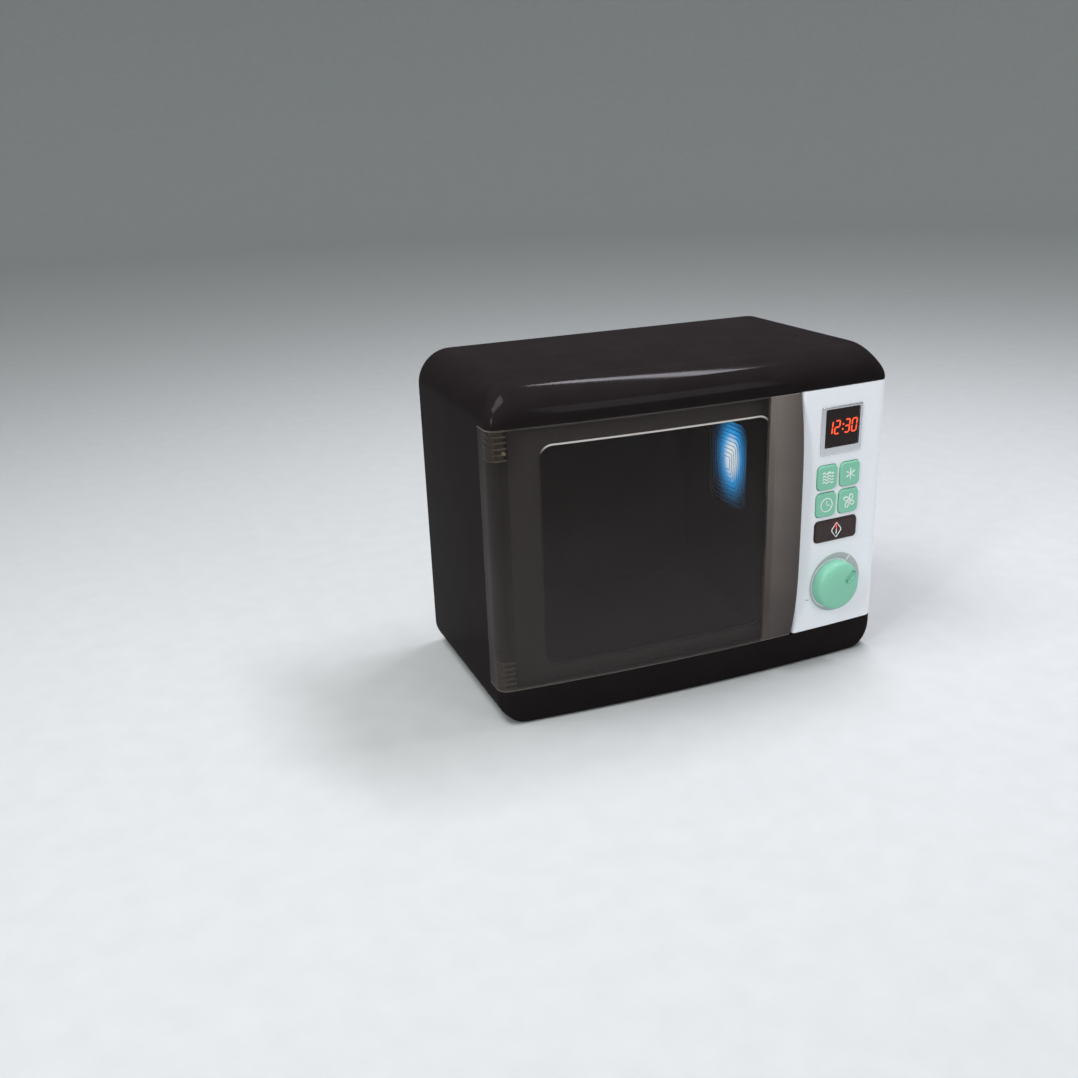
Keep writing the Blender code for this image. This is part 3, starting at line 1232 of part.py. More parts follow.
def oven_light():
    """The ridged lens in the oven's right wall, the tapered reflector behind it and its lamp."""
    inner_x = OVEN_RIGHT + SEAT_GAP
    flange_x = OVEN_RIGHT + OVEN_WALL + SEAT_GAP
    back_x = flange_x + LENS_THICKNESS
    centre_y = FRONT + LENS_DEPTH

    def section(x, inset):
        corner = max(LENS_ROUND - inset, JOIN)
        loop = rounded(LENS_WIDTH - 2.0 * inset, LENS_HEIGHT - 2.0 * inset, corner, LENS_STEPS)
        return [Vector((x, centre_y + across, LENS_Z + up)) for across, up in loop]

    rings = [section(back_x, -LENS_FLANGE), section(flange_x, -LENS_FLANGE), section(flange_x, 0.0)]
    for ridge in range(LENS_RIDGES):
        start = ridge * LENS_RIDGE_PITCH
        rings.append(section(inner_x + LENS_RIDGE_RISE, start))
        rings.append(section(inner_x, start + LENS_RIDGE_PITCH / 2.0))
    rings.append(section(inner_x + LENS_RIDGE_RISE, LENS_RIDGES * LENS_RIDGE_PITCH))
    part("light_lens", loft(rings), "lens_clear")
    start_x = back_x + SEAT_GAP
    end_x = start_x + REFLECTOR_LENGTH
    body = loft([section(start_x, -LENS_FLANGE), section(end_x, REFLECTOR_TAPER)])
    reflector = part("lamp_reflector", body, "white_plastic")
    hollow = loft([section(start_x - JOIN, REFLECTOR_WALL - LENS_FLANGE),
                   section(end_x - REFLECTOR_WALL, REFLECTOR_TAPER + REFLECTOR_WALL)])
    lamp_way = rod((end_x - OVERRUN, centre_y, LENS_Z), (end_x + OVERRUN, centre_y, LENS_Z),
                   LED_RADIUS + SEAT_GAP)
    cut(reflector, guide("reflector_space", hollow), guide("lamp_way", lamp_way))
    foot_x = end_x + SEAT_GAP
    shoulder = LED_RADIUS * DOME_SHARES[1]
    rim = LED_RADIUS * LED_FOOT_SHARE
    led = [(0.0, LED_LENGTH), (shoulder, LED_LENGTH - LED_RADIUS + shoulder),
           (LED_RADIUS, LED_LENGTH - LED_RADIUS), (LED_RADIUS, 0.0), (rim, 0.0), (rim, -LED_FOOT),
           (0.0, -LED_FOOT)]
    turned("oven_lamp", led, "lens_clear", (foot_x, centre_y, LENS_Z), (-1.0, 0.0, 0.0), SMALL_TURN_STEPS)
    return foot_x + LED_FOOT


def speaker():
    """The speaker behind the cover's grille, its clamp ring and the collar's height."""
    face_y = COVER_Y - SEAT_GAP
    out = [(0.0, SPEAKER_CONE), (SPEAKER_RADIUS - SPEAKER_RIM, SEAT_GAP), (SPEAKER_RADIUS, SEAT_GAP),
           (SPEAKER_RADIUS, -SPEAKER_RIM), (SPEAKER_RADIUS - SPEAKER_RIM * 2.0, -SPEAKER_RIM),
           (MAGNET_RADIUS, -SPEAKER_DEPTH), (MAGNET_RADIUS, -SPEAKER_DEPTH - MAGNET_DEPTH),
           (0.0, -SPEAKER_DEPTH - MAGNET_DEPTH)]
    profile = [(radius, height - SEAT_GAP) for radius, height in out]
    turned("speaker", profile, "start_black", (SPEAKER_X, face_y, SPEAKER_Z), (0.0, 1.0, 0.0))
    ring_y = COVER_Y - COLLAR_HEIGHT - SEAT_GAP - CLAMP_THICKNESS
    centre = (SPEAKER_X, SPEAKER_Z)
    outer = circle(SPEAKER_RADIUS + SEAT_GAP + CLAMP_WIDTH, CIRCLE_STEPS, centre)
    inner = circle(SPEAKER_RADIUS - SPEAKER_RIM + SEAT_GAP, CIRCLE_STEPS, centre)
    clamp = upright(plate([outer, inner], CLAMP_THICKNESS), (0.0, ring_y, 0.0))
    part("speaker_clamp", clamp, "white_plastic")


def tray_size():
    """The inner width, height and depth of the battery tray."""
    end = CONTACT_THICKNESS + 2.0 * SEAT_GAP
    across = 2.0 * (CELL_RADIUS + CELL_GAP)
    return CELL_LENGTH + 2.0 * end, CELL_PITCH + across, across


def battery_box():
    """The tray inside the cover with its two cells and the contacts at their ends."""
    width, height, depth = tray_size()
    mouth = COVER_Y - SEAT_GAP
    floor = mouth - depth
    grow = BOX_WALL
    tray = block((BATTERY_X - width / 2.0 - grow, floor - grow, BATTERY_Z - height / 2.0 - grow),
                 (BATTERY_X + width / 2.0 + grow, mouth, BATTERY_Z + height / 2.0 + grow))
    space = block((BATTERY_X - width / 2.0, floor, BATTERY_Z - height / 2.0),
                  (BATTERY_X + width / 2.0, mouth + OVERRUN, BATTERY_Z + height / 2.0))
    cut(part("battery_box", tray, "black_shell", False), guide("tray_space", space))
    cell_y = mouth - CELL_GAP - CELL_RADIUS
    half = CONTACT_WIDTH / 2.0
    for index, sense in enumerate((-1.0, 1.0), 1):
        z = BATTERY_Z + sense * CELL_PITCH / 2.0
        end = CELL_LENGTH / 2.0
        profile = [(0.0, end), (CELL_NUB_RADIUS, end), (CELL_NUB_RADIUS, end - CELL_NUB),
                   (CELL_RADIUS, end - CELL_NUB), (CELL_RADIUS, -end), (0.0, -end)]
        turned(f"battery_{index}", profile, "cell_wrap", (BATTERY_X, cell_y, z), (sense, 0.0, 0.0))
        near = BATTERY_X + CELL_LENGTH / 2.0 + SEAT_GAP
        part(f"contact_{index}", block((near, cell_y - half, z - half),
                                       (near + CONTACT_THICKNESS, cell_y + half, z + half)), "steel", False)
    far = BATTERY_X - CELL_LENGTH / 2.0 - SEAT_GAP
    reach = CELL_PITCH / 2.0 + half
    part("contact_bridge", block((far - CONTACT_THICKNESS, cell_y - half, BATTERY_Z - reach),
                                 (far, cell_y + half, BATTERY_Z + reach)), "steel", False)
    return floor - grow


def door_screw_place():
    """Where the battery door's screw stands, as a pair of X and Z."""
    return BATTERY_X - tray_size()[0] / 2.0 - BATTERY_TAB / 2.0, BATTERY_Z


def battery_door():
    """The lift-off door outside the cover, with a lip that locates it in the opening, and its screw."""
    width, height, _ = tray_size()
    left = BATTERY_X - width / 2.0 - BATTERY_TAB
    right = BATTERY_X + width / 2.0 + BATTERY_DOOR_MARGIN
    near = COVER_Y + COVER_WALL + SEAT_GAP
    outline = rounded(right - left, height + 2.0 * BATTERY_DOOR_MARGIN, BATTERY_DOOR_ROUND, BUTTON_STEPS)
    outline = moved(outline, (left + right) / 2.0, BATTERY_Z)
    screw_x, screw_z = door_screw_place()
    hole = circle(SCREW_RADIUS + SEAT_GAP, SCREW_SIDES, (screw_x, screw_z))
    recess = circle(SCREW_HEAD_RADIUS + SEAT_GAP, SCREW_SIDES, (screw_x, screw_z))
    lid = upright(plate([outline, hole], BATTERY_DOOR_THICKNESS), (0.0, near, 0.0))
    lid = part("battery_door", lid, "black_shell")
    set_origin(lid, (BATTERY_X, near, BATTERY_Z))
    lip = rounded(width - 2.0 * SLIDE_GAP, height - 2.0 * SLIDE_GAP, SLIDE_GAP, 1)
    join(lid, guide("door_lip", prism(moved(lip, BATTERY_X, BATTERY_Z), near - LIP_REACH, near + JOIN)))
    head_y = near + BATTERY_DOOR_THICKNESS - DOOR_SCREW_SINK
    cut(lid, guide("door_screw_sink", prism(recess, head_y - SEAT_GAP, near + OVERRUN)))
    screw("battery_door_screw", screw_x, screw_z, head_y, BATTERY_SCREW_LENGTH)


def back_cover():
    """The cover let into the back: grille, battery opening, speaker collar, screw holes, and its screws."""
    width, height, _ = tray_size()
    far = COVER_Y + COVER_WALL + OVERRUN
    x, z = door_screw_place()
    holes = [block((BATTERY_X - width / 2.0, COVER_Y - OVERRUN, BATTERY_Z - height / 2.0),
                   (BATTERY_X + width / 2.0, far, BATTERY_Z + height / 2.0))]
    holes += [bore((across, COVER_Y - OVERRUN, up), far) for across, up in boss_places()]
    holes.append(bore((x, COVER_Y - BATTERY_SCREW_LENGTH + JOIN, z), far))
    grille = [(0.0, 0.0)]
    for ring in range(1, GRILLE_RINGS + 1):
        grille += circle(ring * GRILLE_PITCH, ring * GRILLE_SIDES)
    for across, up in moved(grille, SPEAKER_X, SPEAKER_Z):
        start = (across, COVER_Y - OVERRUN, up)
        holes.append(rod(start, (across, far, up), GRILLE_HOLE, sides=GRILLE_SIDES))
    cover = part("back_cover", prism(shell_outline(COVER_INSET + SEAT_GAP), COVER_Y, COVER_Y + COVER_WALL),
                 "black_shell", False)
    inner = SPEAKER_RADIUS + SEAT_GAP
    collar = plate([circle(inner + CLAMP_WIDTH), circle(inner)], COLLAR_HEIGHT + JOIN)
    upright(collar, (SPEAKER_X, COVER_Y - COLLAR_HEIGHT, SPEAKER_Z))
    boss = rod((x, COVER_Y - BATTERY_SCREW_LENGTH, z), (x, COVER_Y + JOIN, z),
               BOSS_RADIUS * COVER_BOSS_SHARE)
    join(cover, guide("speaker_collar", collar), guide("cover_boss", boss))
    cut(cover, guide("cover_holes", gather(holes)))
    head_y = COVER_Y + COVER_WALL + SEAT_GAP
    screws("cover_screw", boss_places(), head_y, SCREW_LENGTH)


def wire_pair(name, points, spread):
    """Two wires side by side along a smooth route through a few chosen points."""
    for index, side in enumerate((-1.0, 1.0), 1):
        route = [Vector(point) + Vector(spread) * (side * WIRE_PITCH / 2.0) for point in points]
        curve = bpy.data.curves.new(name, "CURVE")
        curve.dimensions = "3D"
        curve.bevel_depth = WIRE_RADIUS
        curve.bevel_resolution = 1
        curve.use_fill_caps = True
        spline = curve.splines.new("POLY")
        spline.points.add(WIRE_POINTS - 1)
        for number, point in enumerate(spline.points):
            share = number / (WIRE_POINTS - 1)
            near = [route[step].lerp(route[step + 1], share) for step in range(len(route) - 1)]
            far = [near[step].lerp(near[step + 1], share) for step in range(len(near) - 1)]
            point.co = (*far[0].lerp(far[1], share), 1.0)
        holder = bpy.data.objects.new(name, curve)
        CUTTERS.objects.link(holder)
        mesh = settled(holder)
        bpy.data.objects.remove(holder)
        bpy.data.curves.remove(curve)
        part(f"{name}_{index}", mesh, "wire_red")


def wires(lamp_end, tray_front):
    """The battery's, the speaker's and the lamp's wires, each pair from its piece to the circuit board."""
    board = BOARD_Y + BOARD_THICKNESS + SEAT_GAP
    sag = Vector((0.0, 0.0, -WIRE_SAG))
    pull = Vector((0.0, WIRE_SAG, 0.0))
    across = (1.0, 0.0, 0.0)
    speaker_back = COVER_Y - SPEAKER_DEPTH - MAGNET_DEPTH - SEAT_GAP * 3.0
    lamp_way = Vector((WIRE_SAG / 2.0, 0.0, 0.0))
    routes = (
        ("battery_wire", Vector((COLUMN_X, tray_front - SEAT_GAP, BATTERY_Z)),
         Vector((COLUMN_X + CHIP_RADIUS, board, BOARD_BASE_Z + BOARD_HOLE_INSET * 2.0)), pull * -1.0),
        ("speaker_wire", Vector((SPEAKER_X, speaker_back, SPEAKER_Z)),
         Vector((SPEAKER_X, board, SPEAKER_Z)), pull * -1.0),
        ("lamp_wire", Vector((lamp_end + SEAT_GAP + WIRE_RADIUS, FRONT + LENS_DEPTH, LENS_Z)),
         Vector((COLUMN_X - CHIP_RADIUS * 2.0, board, LENS_Z + CHIP_RADIUS * 2.0)), lamp_way))
    for name, start, end, leave in routes:
        spread = (0.0, 0.0, 1.0) if name == "lamp_wire" else across
        wire_pair(name, (start, start + leave + sag / 2.0, end + pull + sag / 2.0, end), spread)


def build():
    """Make every piece of the toy."""
    housing_shell()
    door()
    front_frame()
    oven_cavity()
    door_catch()
    control_panel()
    display()
    buttons()
    electronics()
    timer()
    lamp_end = oven_light()
    speaker()
    tray_front = battery_box()
    battery_door()
    back_cover()
    wires(lamp_end, tray_front)


build()
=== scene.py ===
"""Looks of the toy microwave: smooth mouldings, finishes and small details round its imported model.

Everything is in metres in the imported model's frame: the front faces -Y and the toy stands on z = 0.
Every curved front piece follows one bow, which Bow.front gives.
"""

import logging
import math
from dataclasses import dataclass
from enum import Enum
from typing import Iterable, Optional, Sequence

import bmesh
import bpy
from mathutils import Matrix, Vector


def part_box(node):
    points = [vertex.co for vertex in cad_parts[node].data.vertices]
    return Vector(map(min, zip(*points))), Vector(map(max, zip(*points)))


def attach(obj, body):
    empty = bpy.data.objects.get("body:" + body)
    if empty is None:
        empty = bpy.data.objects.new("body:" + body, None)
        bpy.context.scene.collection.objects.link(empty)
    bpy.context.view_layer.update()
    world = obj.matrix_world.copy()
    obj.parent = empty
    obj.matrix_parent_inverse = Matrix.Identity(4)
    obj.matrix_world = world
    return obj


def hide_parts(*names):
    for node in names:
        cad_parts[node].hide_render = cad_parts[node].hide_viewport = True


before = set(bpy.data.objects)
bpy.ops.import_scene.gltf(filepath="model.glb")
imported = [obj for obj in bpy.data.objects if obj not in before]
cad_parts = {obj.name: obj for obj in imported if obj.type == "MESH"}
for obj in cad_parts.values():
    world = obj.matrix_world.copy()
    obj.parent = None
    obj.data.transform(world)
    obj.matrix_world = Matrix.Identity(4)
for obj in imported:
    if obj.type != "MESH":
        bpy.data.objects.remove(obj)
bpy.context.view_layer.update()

log = logging.getLogger("toy_microwave")

Pair = tuple[float, float]
Loop = list[Pair]
Line = tuple[Loop, bool]
Ring = list[Vector]
Triple = tuple[float, float, float]
Colour = Triple
Mesh = bpy.types.Mesh
Socket = bpy.types.NodeSocket

WELD = 2e-6
NODE_WELD = 1e-6
FLAT_DEGREES = 1.0
MARK_SHARP = 60.0


class Body(Enum):
    """The rigid bodies that a piece can ride on."""

    CASE = "case"
    DOOR = "door"
    KNOB = "knob"
    BATTERY_DOOR = "battery_door"
    WAVE = "button_wave"
    SNOW = "button_snow"
    CLOCK = "button_clock"
    FAN = "button_fan"
    START = "button_start"


class Slot(Enum):
    """The record's material slots."""

    SHELL = "black_shell"
    FRAME = "dark_frame"
    OVEN = "oven_black"
    DOOR = "smoked_clear"
    PANEL = "panel_white"
    MINT = "mint"
    START = "start_black"
    SILVER = "silver"
    WINDOW = "window_dark"
    RUBBER = "rubber_grey"
    BOARD = "board_green"
    LENS = "lens_clear"
    WHITE = "white_plastic"
    WIRE = "wire_red"
    CELL = "cell_wrap"
    STEEL = "steel"


@dataclass(frozen=True)
class Bow:
    """The toy's main sizes and the curve that its whole front follows."""

    width: float = 0.270
    depth: float = 0.139
    height: float = 0.2085
    rise: float = 0.0060
    fade: float = 0.045
    base_height: float = 0.0225
    visor_height: float = 0.0232
    gap: float = 0.0005
    back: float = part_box("housing_shell")[1].y

    @property
    def half(self) -> float:
        """Half of the width."""
        return self.width / 2.0

    @property
    def plane(self) -> float:
        """The y of the front's two ends."""
        return self.back - self.depth

    @property
    def low(self) -> float:
        """The lower edge of the door and the panel."""
        return self.base_height + self.gap

    @property
    def high(self) -> float:
        """The upper edge of the door and the panel."""
        return self.height - self.visor_height - self.gap

    def front(self, x: float, depth: float = 0.0) -> float:
        """The y of the bowed front, or of a ring behind it, where the bow fades out.

        Args:
            x: The place across the front.
            depth: How far behind the front's ends the ring lies.

        Returns:
            The value of y there.
        """
        fade = max(1.0 - max(depth, 0.0) / self.fade, 0.0)
        return self.plane + depth - fade * self.rise * (1.0 - (2.0 * x / self.width) ** 2)

    def skin(self, x: float, depth: float) -> float:
        """The y at an even distance behind the bowed front."""
        return self.front(x) + depth

    def follow(self, loop: Iterable[Pair], depth: float) -> Ring:
        """An outline in X and Z laid at an even distance behind the bowed front."""
        return [Vector((x, self.skin(x, depth), z)) for x, z in loop]


BOW = Bow()
CORNER_ROUND = 0.0065
WRAP_DEPTH = 0.0175
WRAP_STEPS = (0.0145, 0.012, 0.009)
FRONT_WALL = 0.0025
EDGE_ROUND = 0.0028
LEAST_ROUND = 0.0006
COLUMN_X = 0.0982
KNOB_Z = 0.0532


def quarter(count: int, start: float = 0.0, end: float = 1.0) -> list[float]:
    """Even angles from one number of quarter turns to another, with both ends."""
    return [math.pi / 2.0 * (start + (end - start) * step / count) for step in range(count + 1)]


def rolled(radius: float, steps: int) -> list[Pair]:
    """How far a quarter round has drawn in and how far behind its crest it lies, from its foot to its crest."""
    return [(radius * (1.0 - math.cos(angle)), radius * (1.0 - math.sin(angle))) for angle in quarter(steps)]


def wrapped(side: float) -> Loop:
    """The plan of a front piece where it turns round a corner, from its back end to the bowed front."""
    path = [(side * BOW.half, BOW.front(BOW.half, depth)) for depth in (WRAP_DEPTH, *WRAP_STEPS)]
    for drawn, depth in rolled(CORNER_ROUND, 14):
        x = side * (BOW.half - drawn)
        path.append((x, BOW.front(x, depth)))
    return path


def edged(x: float, side: float, back_edge: float) -> Loop:
    """The plan of a front piece's rounded free edge, from its crest to its back end."""
    path = []
    for angle in quarter(8):
        place = x - side * EDGE_ROUND * (1.0 - math.sin(angle))
        path.append((place, BOW.skin(place, EDGE_ROUND * (1.0 - math.cos(angle)))))
    return path + [(x, BOW.skin(x, back_edge))]


def laid_on(line: Loop, depth: float, thickness: float) -> Mesh:
    """One thin raised shape that follows the bow at a depth."""
    return loft([BOW.follow(line, depth), BOW.follow(line, depth - thickness)])


def drawn_in(radius: float, depth: float) -> float:
    """How far a rounded edge has drawn in at a depth."""
    short = max(radius - depth, 0.0)
    return radius - math.sqrt(max(radius ** 2 - short ** 2, 0.0))


def between(start: float, end: float, count: int) -> list[float]:
    """Even steps from one value to another, with both ends left out."""
    return [start + (end - start) * step / count for step in range(1, count)]


def rounded(width: float, height: float, radius: float, steps: int = 10, centre: Pair = (0.0, 0.0)) -> Loop:
    """A rounded rectangle, anticlockwise.

    Args:
        width: Its full width.
        height: Its full height.
        radius: The radius of its corners.
        steps: How many steps each corner has.
        centre: Where its middle is.

    Returns:
        Its points as pairs.
    """
    points: Loop = []
    for side, rise, start in ((1, 1, 0.0), (-1, 1, 0.5), (-1, -1, 1.0), (1, -1, 1.5)):
        for step in range(steps + 1):
            angle = math.pi * (start + step / steps / 2.0)
            points.append((centre[0] + side * (width / 2.0 - radius) + radius * math.cos(angle),
                           centre[1] + rise * (height / 2.0 - radius) + radius * math.sin(angle)))
    return points


def circle(radius: float, steps: int = 48, centre: Pair = (0.0, 0.0)) -> Loop:
    """A circle as pairs."""
    return [(centre[0] + radius * math.cos(math.tau * step / steps),
             centre[1] + radius * math.sin(math.tau * step / steps)) for step in range(steps)]


def written(work: bmesh.types.BMesh, mesh: Optional[Mesh] = None, outwards: bool = True) -> Mesh:
    """Free a work shape into a mesh, with its faces turned outwards where that is asked for."""
    if outwards:
        bmesh.ops.recalc_face_normals(work, faces=work.faces)
    if mesh is None:
        mesh = bpy.data.meshes.new("shape")
    work.to_mesh(mesh)
    work.free()
    return mesh


def woven(work: bmesh.types.BMesh, rows: Sequence[Sequence[bmesh.types.BMVert]], wraps: bool = True) -> None:
    """Span faces between rows of vertices.

    Args:
        work: The shape that the faces go into.
        rows: Rows of equal count.
        wraps: Whether each row closes on itself.
    """
    for row, following in zip(rows, rows[1:]):
        for index in range(len(row) - (0 if wraps else 1)):
            after = (index + 1) % len(row)
            corners: list[bmesh.types.BMVert] = []
            for corner in (row[index], row[after], following[after], following[index]):
                if corner not in corners:
                    corners.append(corner)
            if len(corners) > 2:
                work.faces.new(corners)


def loft(rings: Sequence[Ring]) -> Mesh:
    """A closed body through rings of equal count, with its two ends capped."""
    work = bmesh.new()
    rows = [[work.verts.new(point) for point in ring] for ring in rings]
    woven(work, rows)
    work.faces.new(rows[0])
    work.faces.new(rows[-1])
    return written(work)


def upright(loop: Iterable[Pair], levels: Iterable[float]) -> Mesh:
    """A plan in X and Y run straight up through some heights."""
    points = list(loop)
    return loft([[Vector((x, y, z)) for x, y in points] for z in levels])


def prism(loop: Iterable[Pair], near: float, far: float) -> Mesh:
    """An outline in X and Z run straight back between two values of Y."""
    points = list(loop)
    return loft([[Vector((x, y, z)) for x, z in points] for y in (near, far)])


def block(low: Sequence[float], high: Sequence[float]) -> Mesh:
    """A box between two corners, for cutting."""
    return prism([(low[0], low[2]), (high[0], low[2]), (high[0], high[2]), (low[0], high[2])], low[1], high[1])


def eased(item: bpy.types.Object, width: float, angle: float = 50.0) -> None:
    """Ease a work object's sharp edges by a small rounding."""
    ease = item.modifiers.new("ease", "BEVEL")
    ease.width = width
    ease.segments = 2
    ease.limit_method = "ANGLE"
    ease.angle_limit = math.radians(angle)
    ease.use_clamp_overlap = True


def walled(rows: Sequence[Sequence[Vector]], thickness: float, ease: float = 0.0) -> Mesh:
    """A surface through rows of points, given its wall behind it.

    Args:
        rows: Rows of points, each from left to right, from the lowest up.
        thickness: How thick the wall is.
        ease: The width of the rounding along its edges, where it has one.

    Returns:
        The closed mesh.
    """
    work = bmesh.new()
    woven(work, [[work.verts.new(point) for point in row] for row in rows], wraps=False)
    item = loose("wall", written(work, outwards=False))
    wall = item.modifiers.new("wall", "SOLIDIFY")
    wall.thickness = thickness
    wall.offset = -1.0
    wall.use_even_offset = True
    if ease > 0.0:
        eased(item, ease, 60.0)
    return settled(item)


def turned(profile: Sequence[Pair], place: Matrix, steps: int = 96) -> Mesh:
    """A turned body from a profile of radius and height.

    Args:
        profile: Pairs of radius and height, from the top of the axis to its foot.
        place: The frame whose Z is the axis.
        steps: How many sides the body has.

    Returns:
        The closed mesh in its place.
    """
    work = bmesh.new()
    rows = []
    for radius, height in profile:
        if radius <= 0.0:
            rows.append([work.verts.new((0.0, 0.0, height))] * steps)
        else:
            rows.append([work.verts.new((x, y, height)) for x, y in circle(radius, steps)])
    woven(work, rows)
    mesh = written(work)
    mesh.transform(place)
    return mesh


def linked(name: str, data: bpy.types.ID) -> bpy.types.Object:
    """A new object in the scene."""
    item = bpy.data.objects.new(name, data)
    bpy.context.scene.collection.objects.link(item)
    return item


def loose(name: str, mesh: Mesh) -> bpy.types.Object:
    """An object for work in progress, out of the render."""
    item = linked(name, mesh)
    item.hide_render = True
    return item


def settled(item: bpy.types.Object) -> Mesh:
    """The evaluated mesh of a work object, which is then removed."""
    bpy.context.view_layer.update()
    graph = bpy.context.evaluated_depsgraph_get()
    mesh = bpy.data.meshes.new_from_object(item.evaluated_get(graph))
    bpy.data.objects.remove(item)
    work = bmesh.new()
    work.from_mesh(mesh)
    bmesh.ops.remove_doubles(work, verts=work.verts, dist=WELD)
    return written(work, mesh, outwards=False)


def carved(mesh: Mesh, cuts: Sequence[Mesh] = (), joins: Sequence[Mesh] = ()) -> Mesh:
    """A closed mesh with shapes joined to it and others cut out of it.

    Args:
        mesh: The mesh to start from.
        cuts: Closed meshes taken out of it, after the joins.
        joins: Closed meshes made one body with it.

    Returns:
        The finished mesh.
    """
    item = loose("carved", mesh)
    tools = []
    for shapes, operation in ((joins, "UNION"), (cuts, "DIFFERENCE")):
        for shape in shapes:
            tool = loose("tool", shape)
            tools.append(tool)
            change = item.modifiers.new("change", "BOOLEAN")
            change.operation = operation
            change.object = tool
            change.solver = "EXACT"
    done = settled(item)
    for tool in tools:
        bpy.data.objects.remove(tool)
    return done


def gathered(meshes: Iterable[Mesh]) -> Mesh:
    """Several separate bodies as one mesh."""
    work = bmesh.new()
    for mesh in meshes:
        work.from_mesh(mesh)
    return written(work, outwards=False)


def refined(node: str, bevel: float) -> Mesh:
    """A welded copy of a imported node, with its hard edges eased where a bevel is given.

    Args:
        node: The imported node's name.
        bevel: The width of the eased edge.

    Returns:
        The copy's mesh.
    """
    work = bmesh.new()
    work.from_mesh(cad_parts[node].data)
    bmesh.ops.remove_doubles(work, verts=work.verts, dist=NODE_WELD)
    bmesh.ops.dissolve_limit(work, angle_limit=math.radians(FLAT_DEGREES), verts=work.verts, edges=work.edges)
    mesh = written(work, outwards=False)
    if bevel <= 0.0:
        return mesh
    item = loose("refined", mesh)
    eased(item, bevel)
    return settled(item)


class Tree:
    """A hand for building a node tree."""

    def __init__(self, tree: bpy.types.NodeTree) -> None:
        """Take a tree in hand."""
        self.tree = tree

    def put(self, socket: Socket, value: object) -> None:
        """Link another socket to an input, or set the input itself."""
        if isinstance(value, Socket):
            self.tree.links.new(value, socket)
        else:
            socket.default_value = value

    def add(self, kind: str, settings: Optional[dict] = None, **values: object) -> bpy.types.Node:
        """Add a node, with its settings, and its inputs set or linked by name."""
        node = self.tree.nodes.new(kind)
        for key, value in (settings or {}).items():
            setattr(node, key, value)
        for key, value in values.items():
            self.put(node.inputs[key.replace("_", " ")], value)
        return node

    def sum(self, operation: str, *values: object, clamp: bool = False) -> Socket:
        """One sum of its values."""
        node = self.add("ShaderNodeMath", {"operation": operation, "use_clamp": clamp})
        for socket, value in zip(node.inputs, values):
            self.put(socket, value)
        return node.outputs[0]


class Shader(Tree):
    """A hand for building one material's nodes."""

    def __init__(self, name: str) -> None:
        """Start a material with its Principled shader and output."""
        self.made = bpy.data.materials.new(name)
        self.made.use_nodes = True
        super().__init__(self.made.node_tree)
        self.shader = self.tree.nodes["Principled BSDF"]
        self.place = self.add("ShaderNodeTexCoord").outputs["Object"]

    def noise(self, scale: float, detail: float = 3.0, stretch: Triple = (1.0, 1.0, 1.0)) -> Socket:
        """A noise value over the object, at a scale per metre, stretched along an axis."""
        mapped = self.add("ShaderNodeMapping", Vector=self.place, Scale=stretch).outputs["Vector"]
        return self.add("ShaderNodeTexNoise", Vector=mapped, Scale=scale, Detail=detail).outputs["Fac"]

    def remap(self, value: Socket, low: float, high: float, start: float = 0.3, end: float = 0.7) -> Socket:
        """Carry a value from one range to another, held at its ends."""
        return self.add("ShaderNodeMapRange", Value=value, From_Min=start, From_Max=end, To_Min=low,
                        To_Max=high).outputs["Result"]

    def mix(self, share: Socket, first: object, second: object) -> Socket:
        """Blend two colours by a share."""
        node = self.add("ShaderNodeMix", {"data_type": "RGBA"})
        for index, value in ((0, share), (6, first), (7, second)):
            self.put(node.inputs[index], (*value, 1.0) if isinstance(value, tuple) else value)
        return node.outputs[2]

    def bump(self, height: Socket, depth: float) -> None:
        """Raise the surface by a height map, to a depth in metres."""
        node = self.add("ShaderNodeBump", Height=height, Distance=depth, Strength=1.0)
        self.put(self.shader.inputs["Normal"], node.outputs["Normal"])

    def done(self, **values: object) -> bpy.types.Material:
        """Set or link the shader's inputs by name, and give the material."""
        for key, value in values.items():
            self.put(self.shader.inputs[key.replace("_", " ")], (*value, 1.0) if isinstance(value, tuple) else value)
        return self.made


def faded(colour: Colour, share: float) -> Colour:
    """A colour at a share of its strength."""
    return tuple(channel * share for channel in colour)


@dataclass(frozen=True)
class Moulded:
    """A moulded plastic: two close colours in soft patches, a fine skin and faint rubbing."""

    name: str
    colour: Colour
    patch: Colour
    roughness: float
    spread: float = 0.08
    grain: float = 900.0
    grain_depth: float = 0.00002
    coat: float = 0.0
    coat_roughness: float = 0.05
    specular: float = 0.5
    alpha: float = 1.0
    scuff: float = 0.25

    def material(self) -> bpy.types.Material:
        """The plastic's material."""
        hand = Shader(self.name)
        patches = hand.remap(hand.noise(55.0, 4.0), 0.0, 1.0)
        fine = hand.noise(self.grain, 2.0)
        streaks = hand.noise(160.0, 6.0, (1.0, 1.0, 7.0))
        rubbed = hand.remap(streaks, 0.0, self.scuff * self.spread, 0.55, 0.72)
        skin = hand.remap(fine, self.roughness - self.spread / 2.0, self.roughness + self.spread / 2.0)
        hand.bump(fine, self.grain_depth)
        return hand.done(Base_Color=hand.mix(patches, self.colour, self.patch), Roughness=hand.sum("ADD", skin, rubbed),
                         Coat_Weight=self.coat, Coat_Roughness=self.coat_roughness,
                         Specular_IOR_Level=self.specular, Alpha=self.alpha)


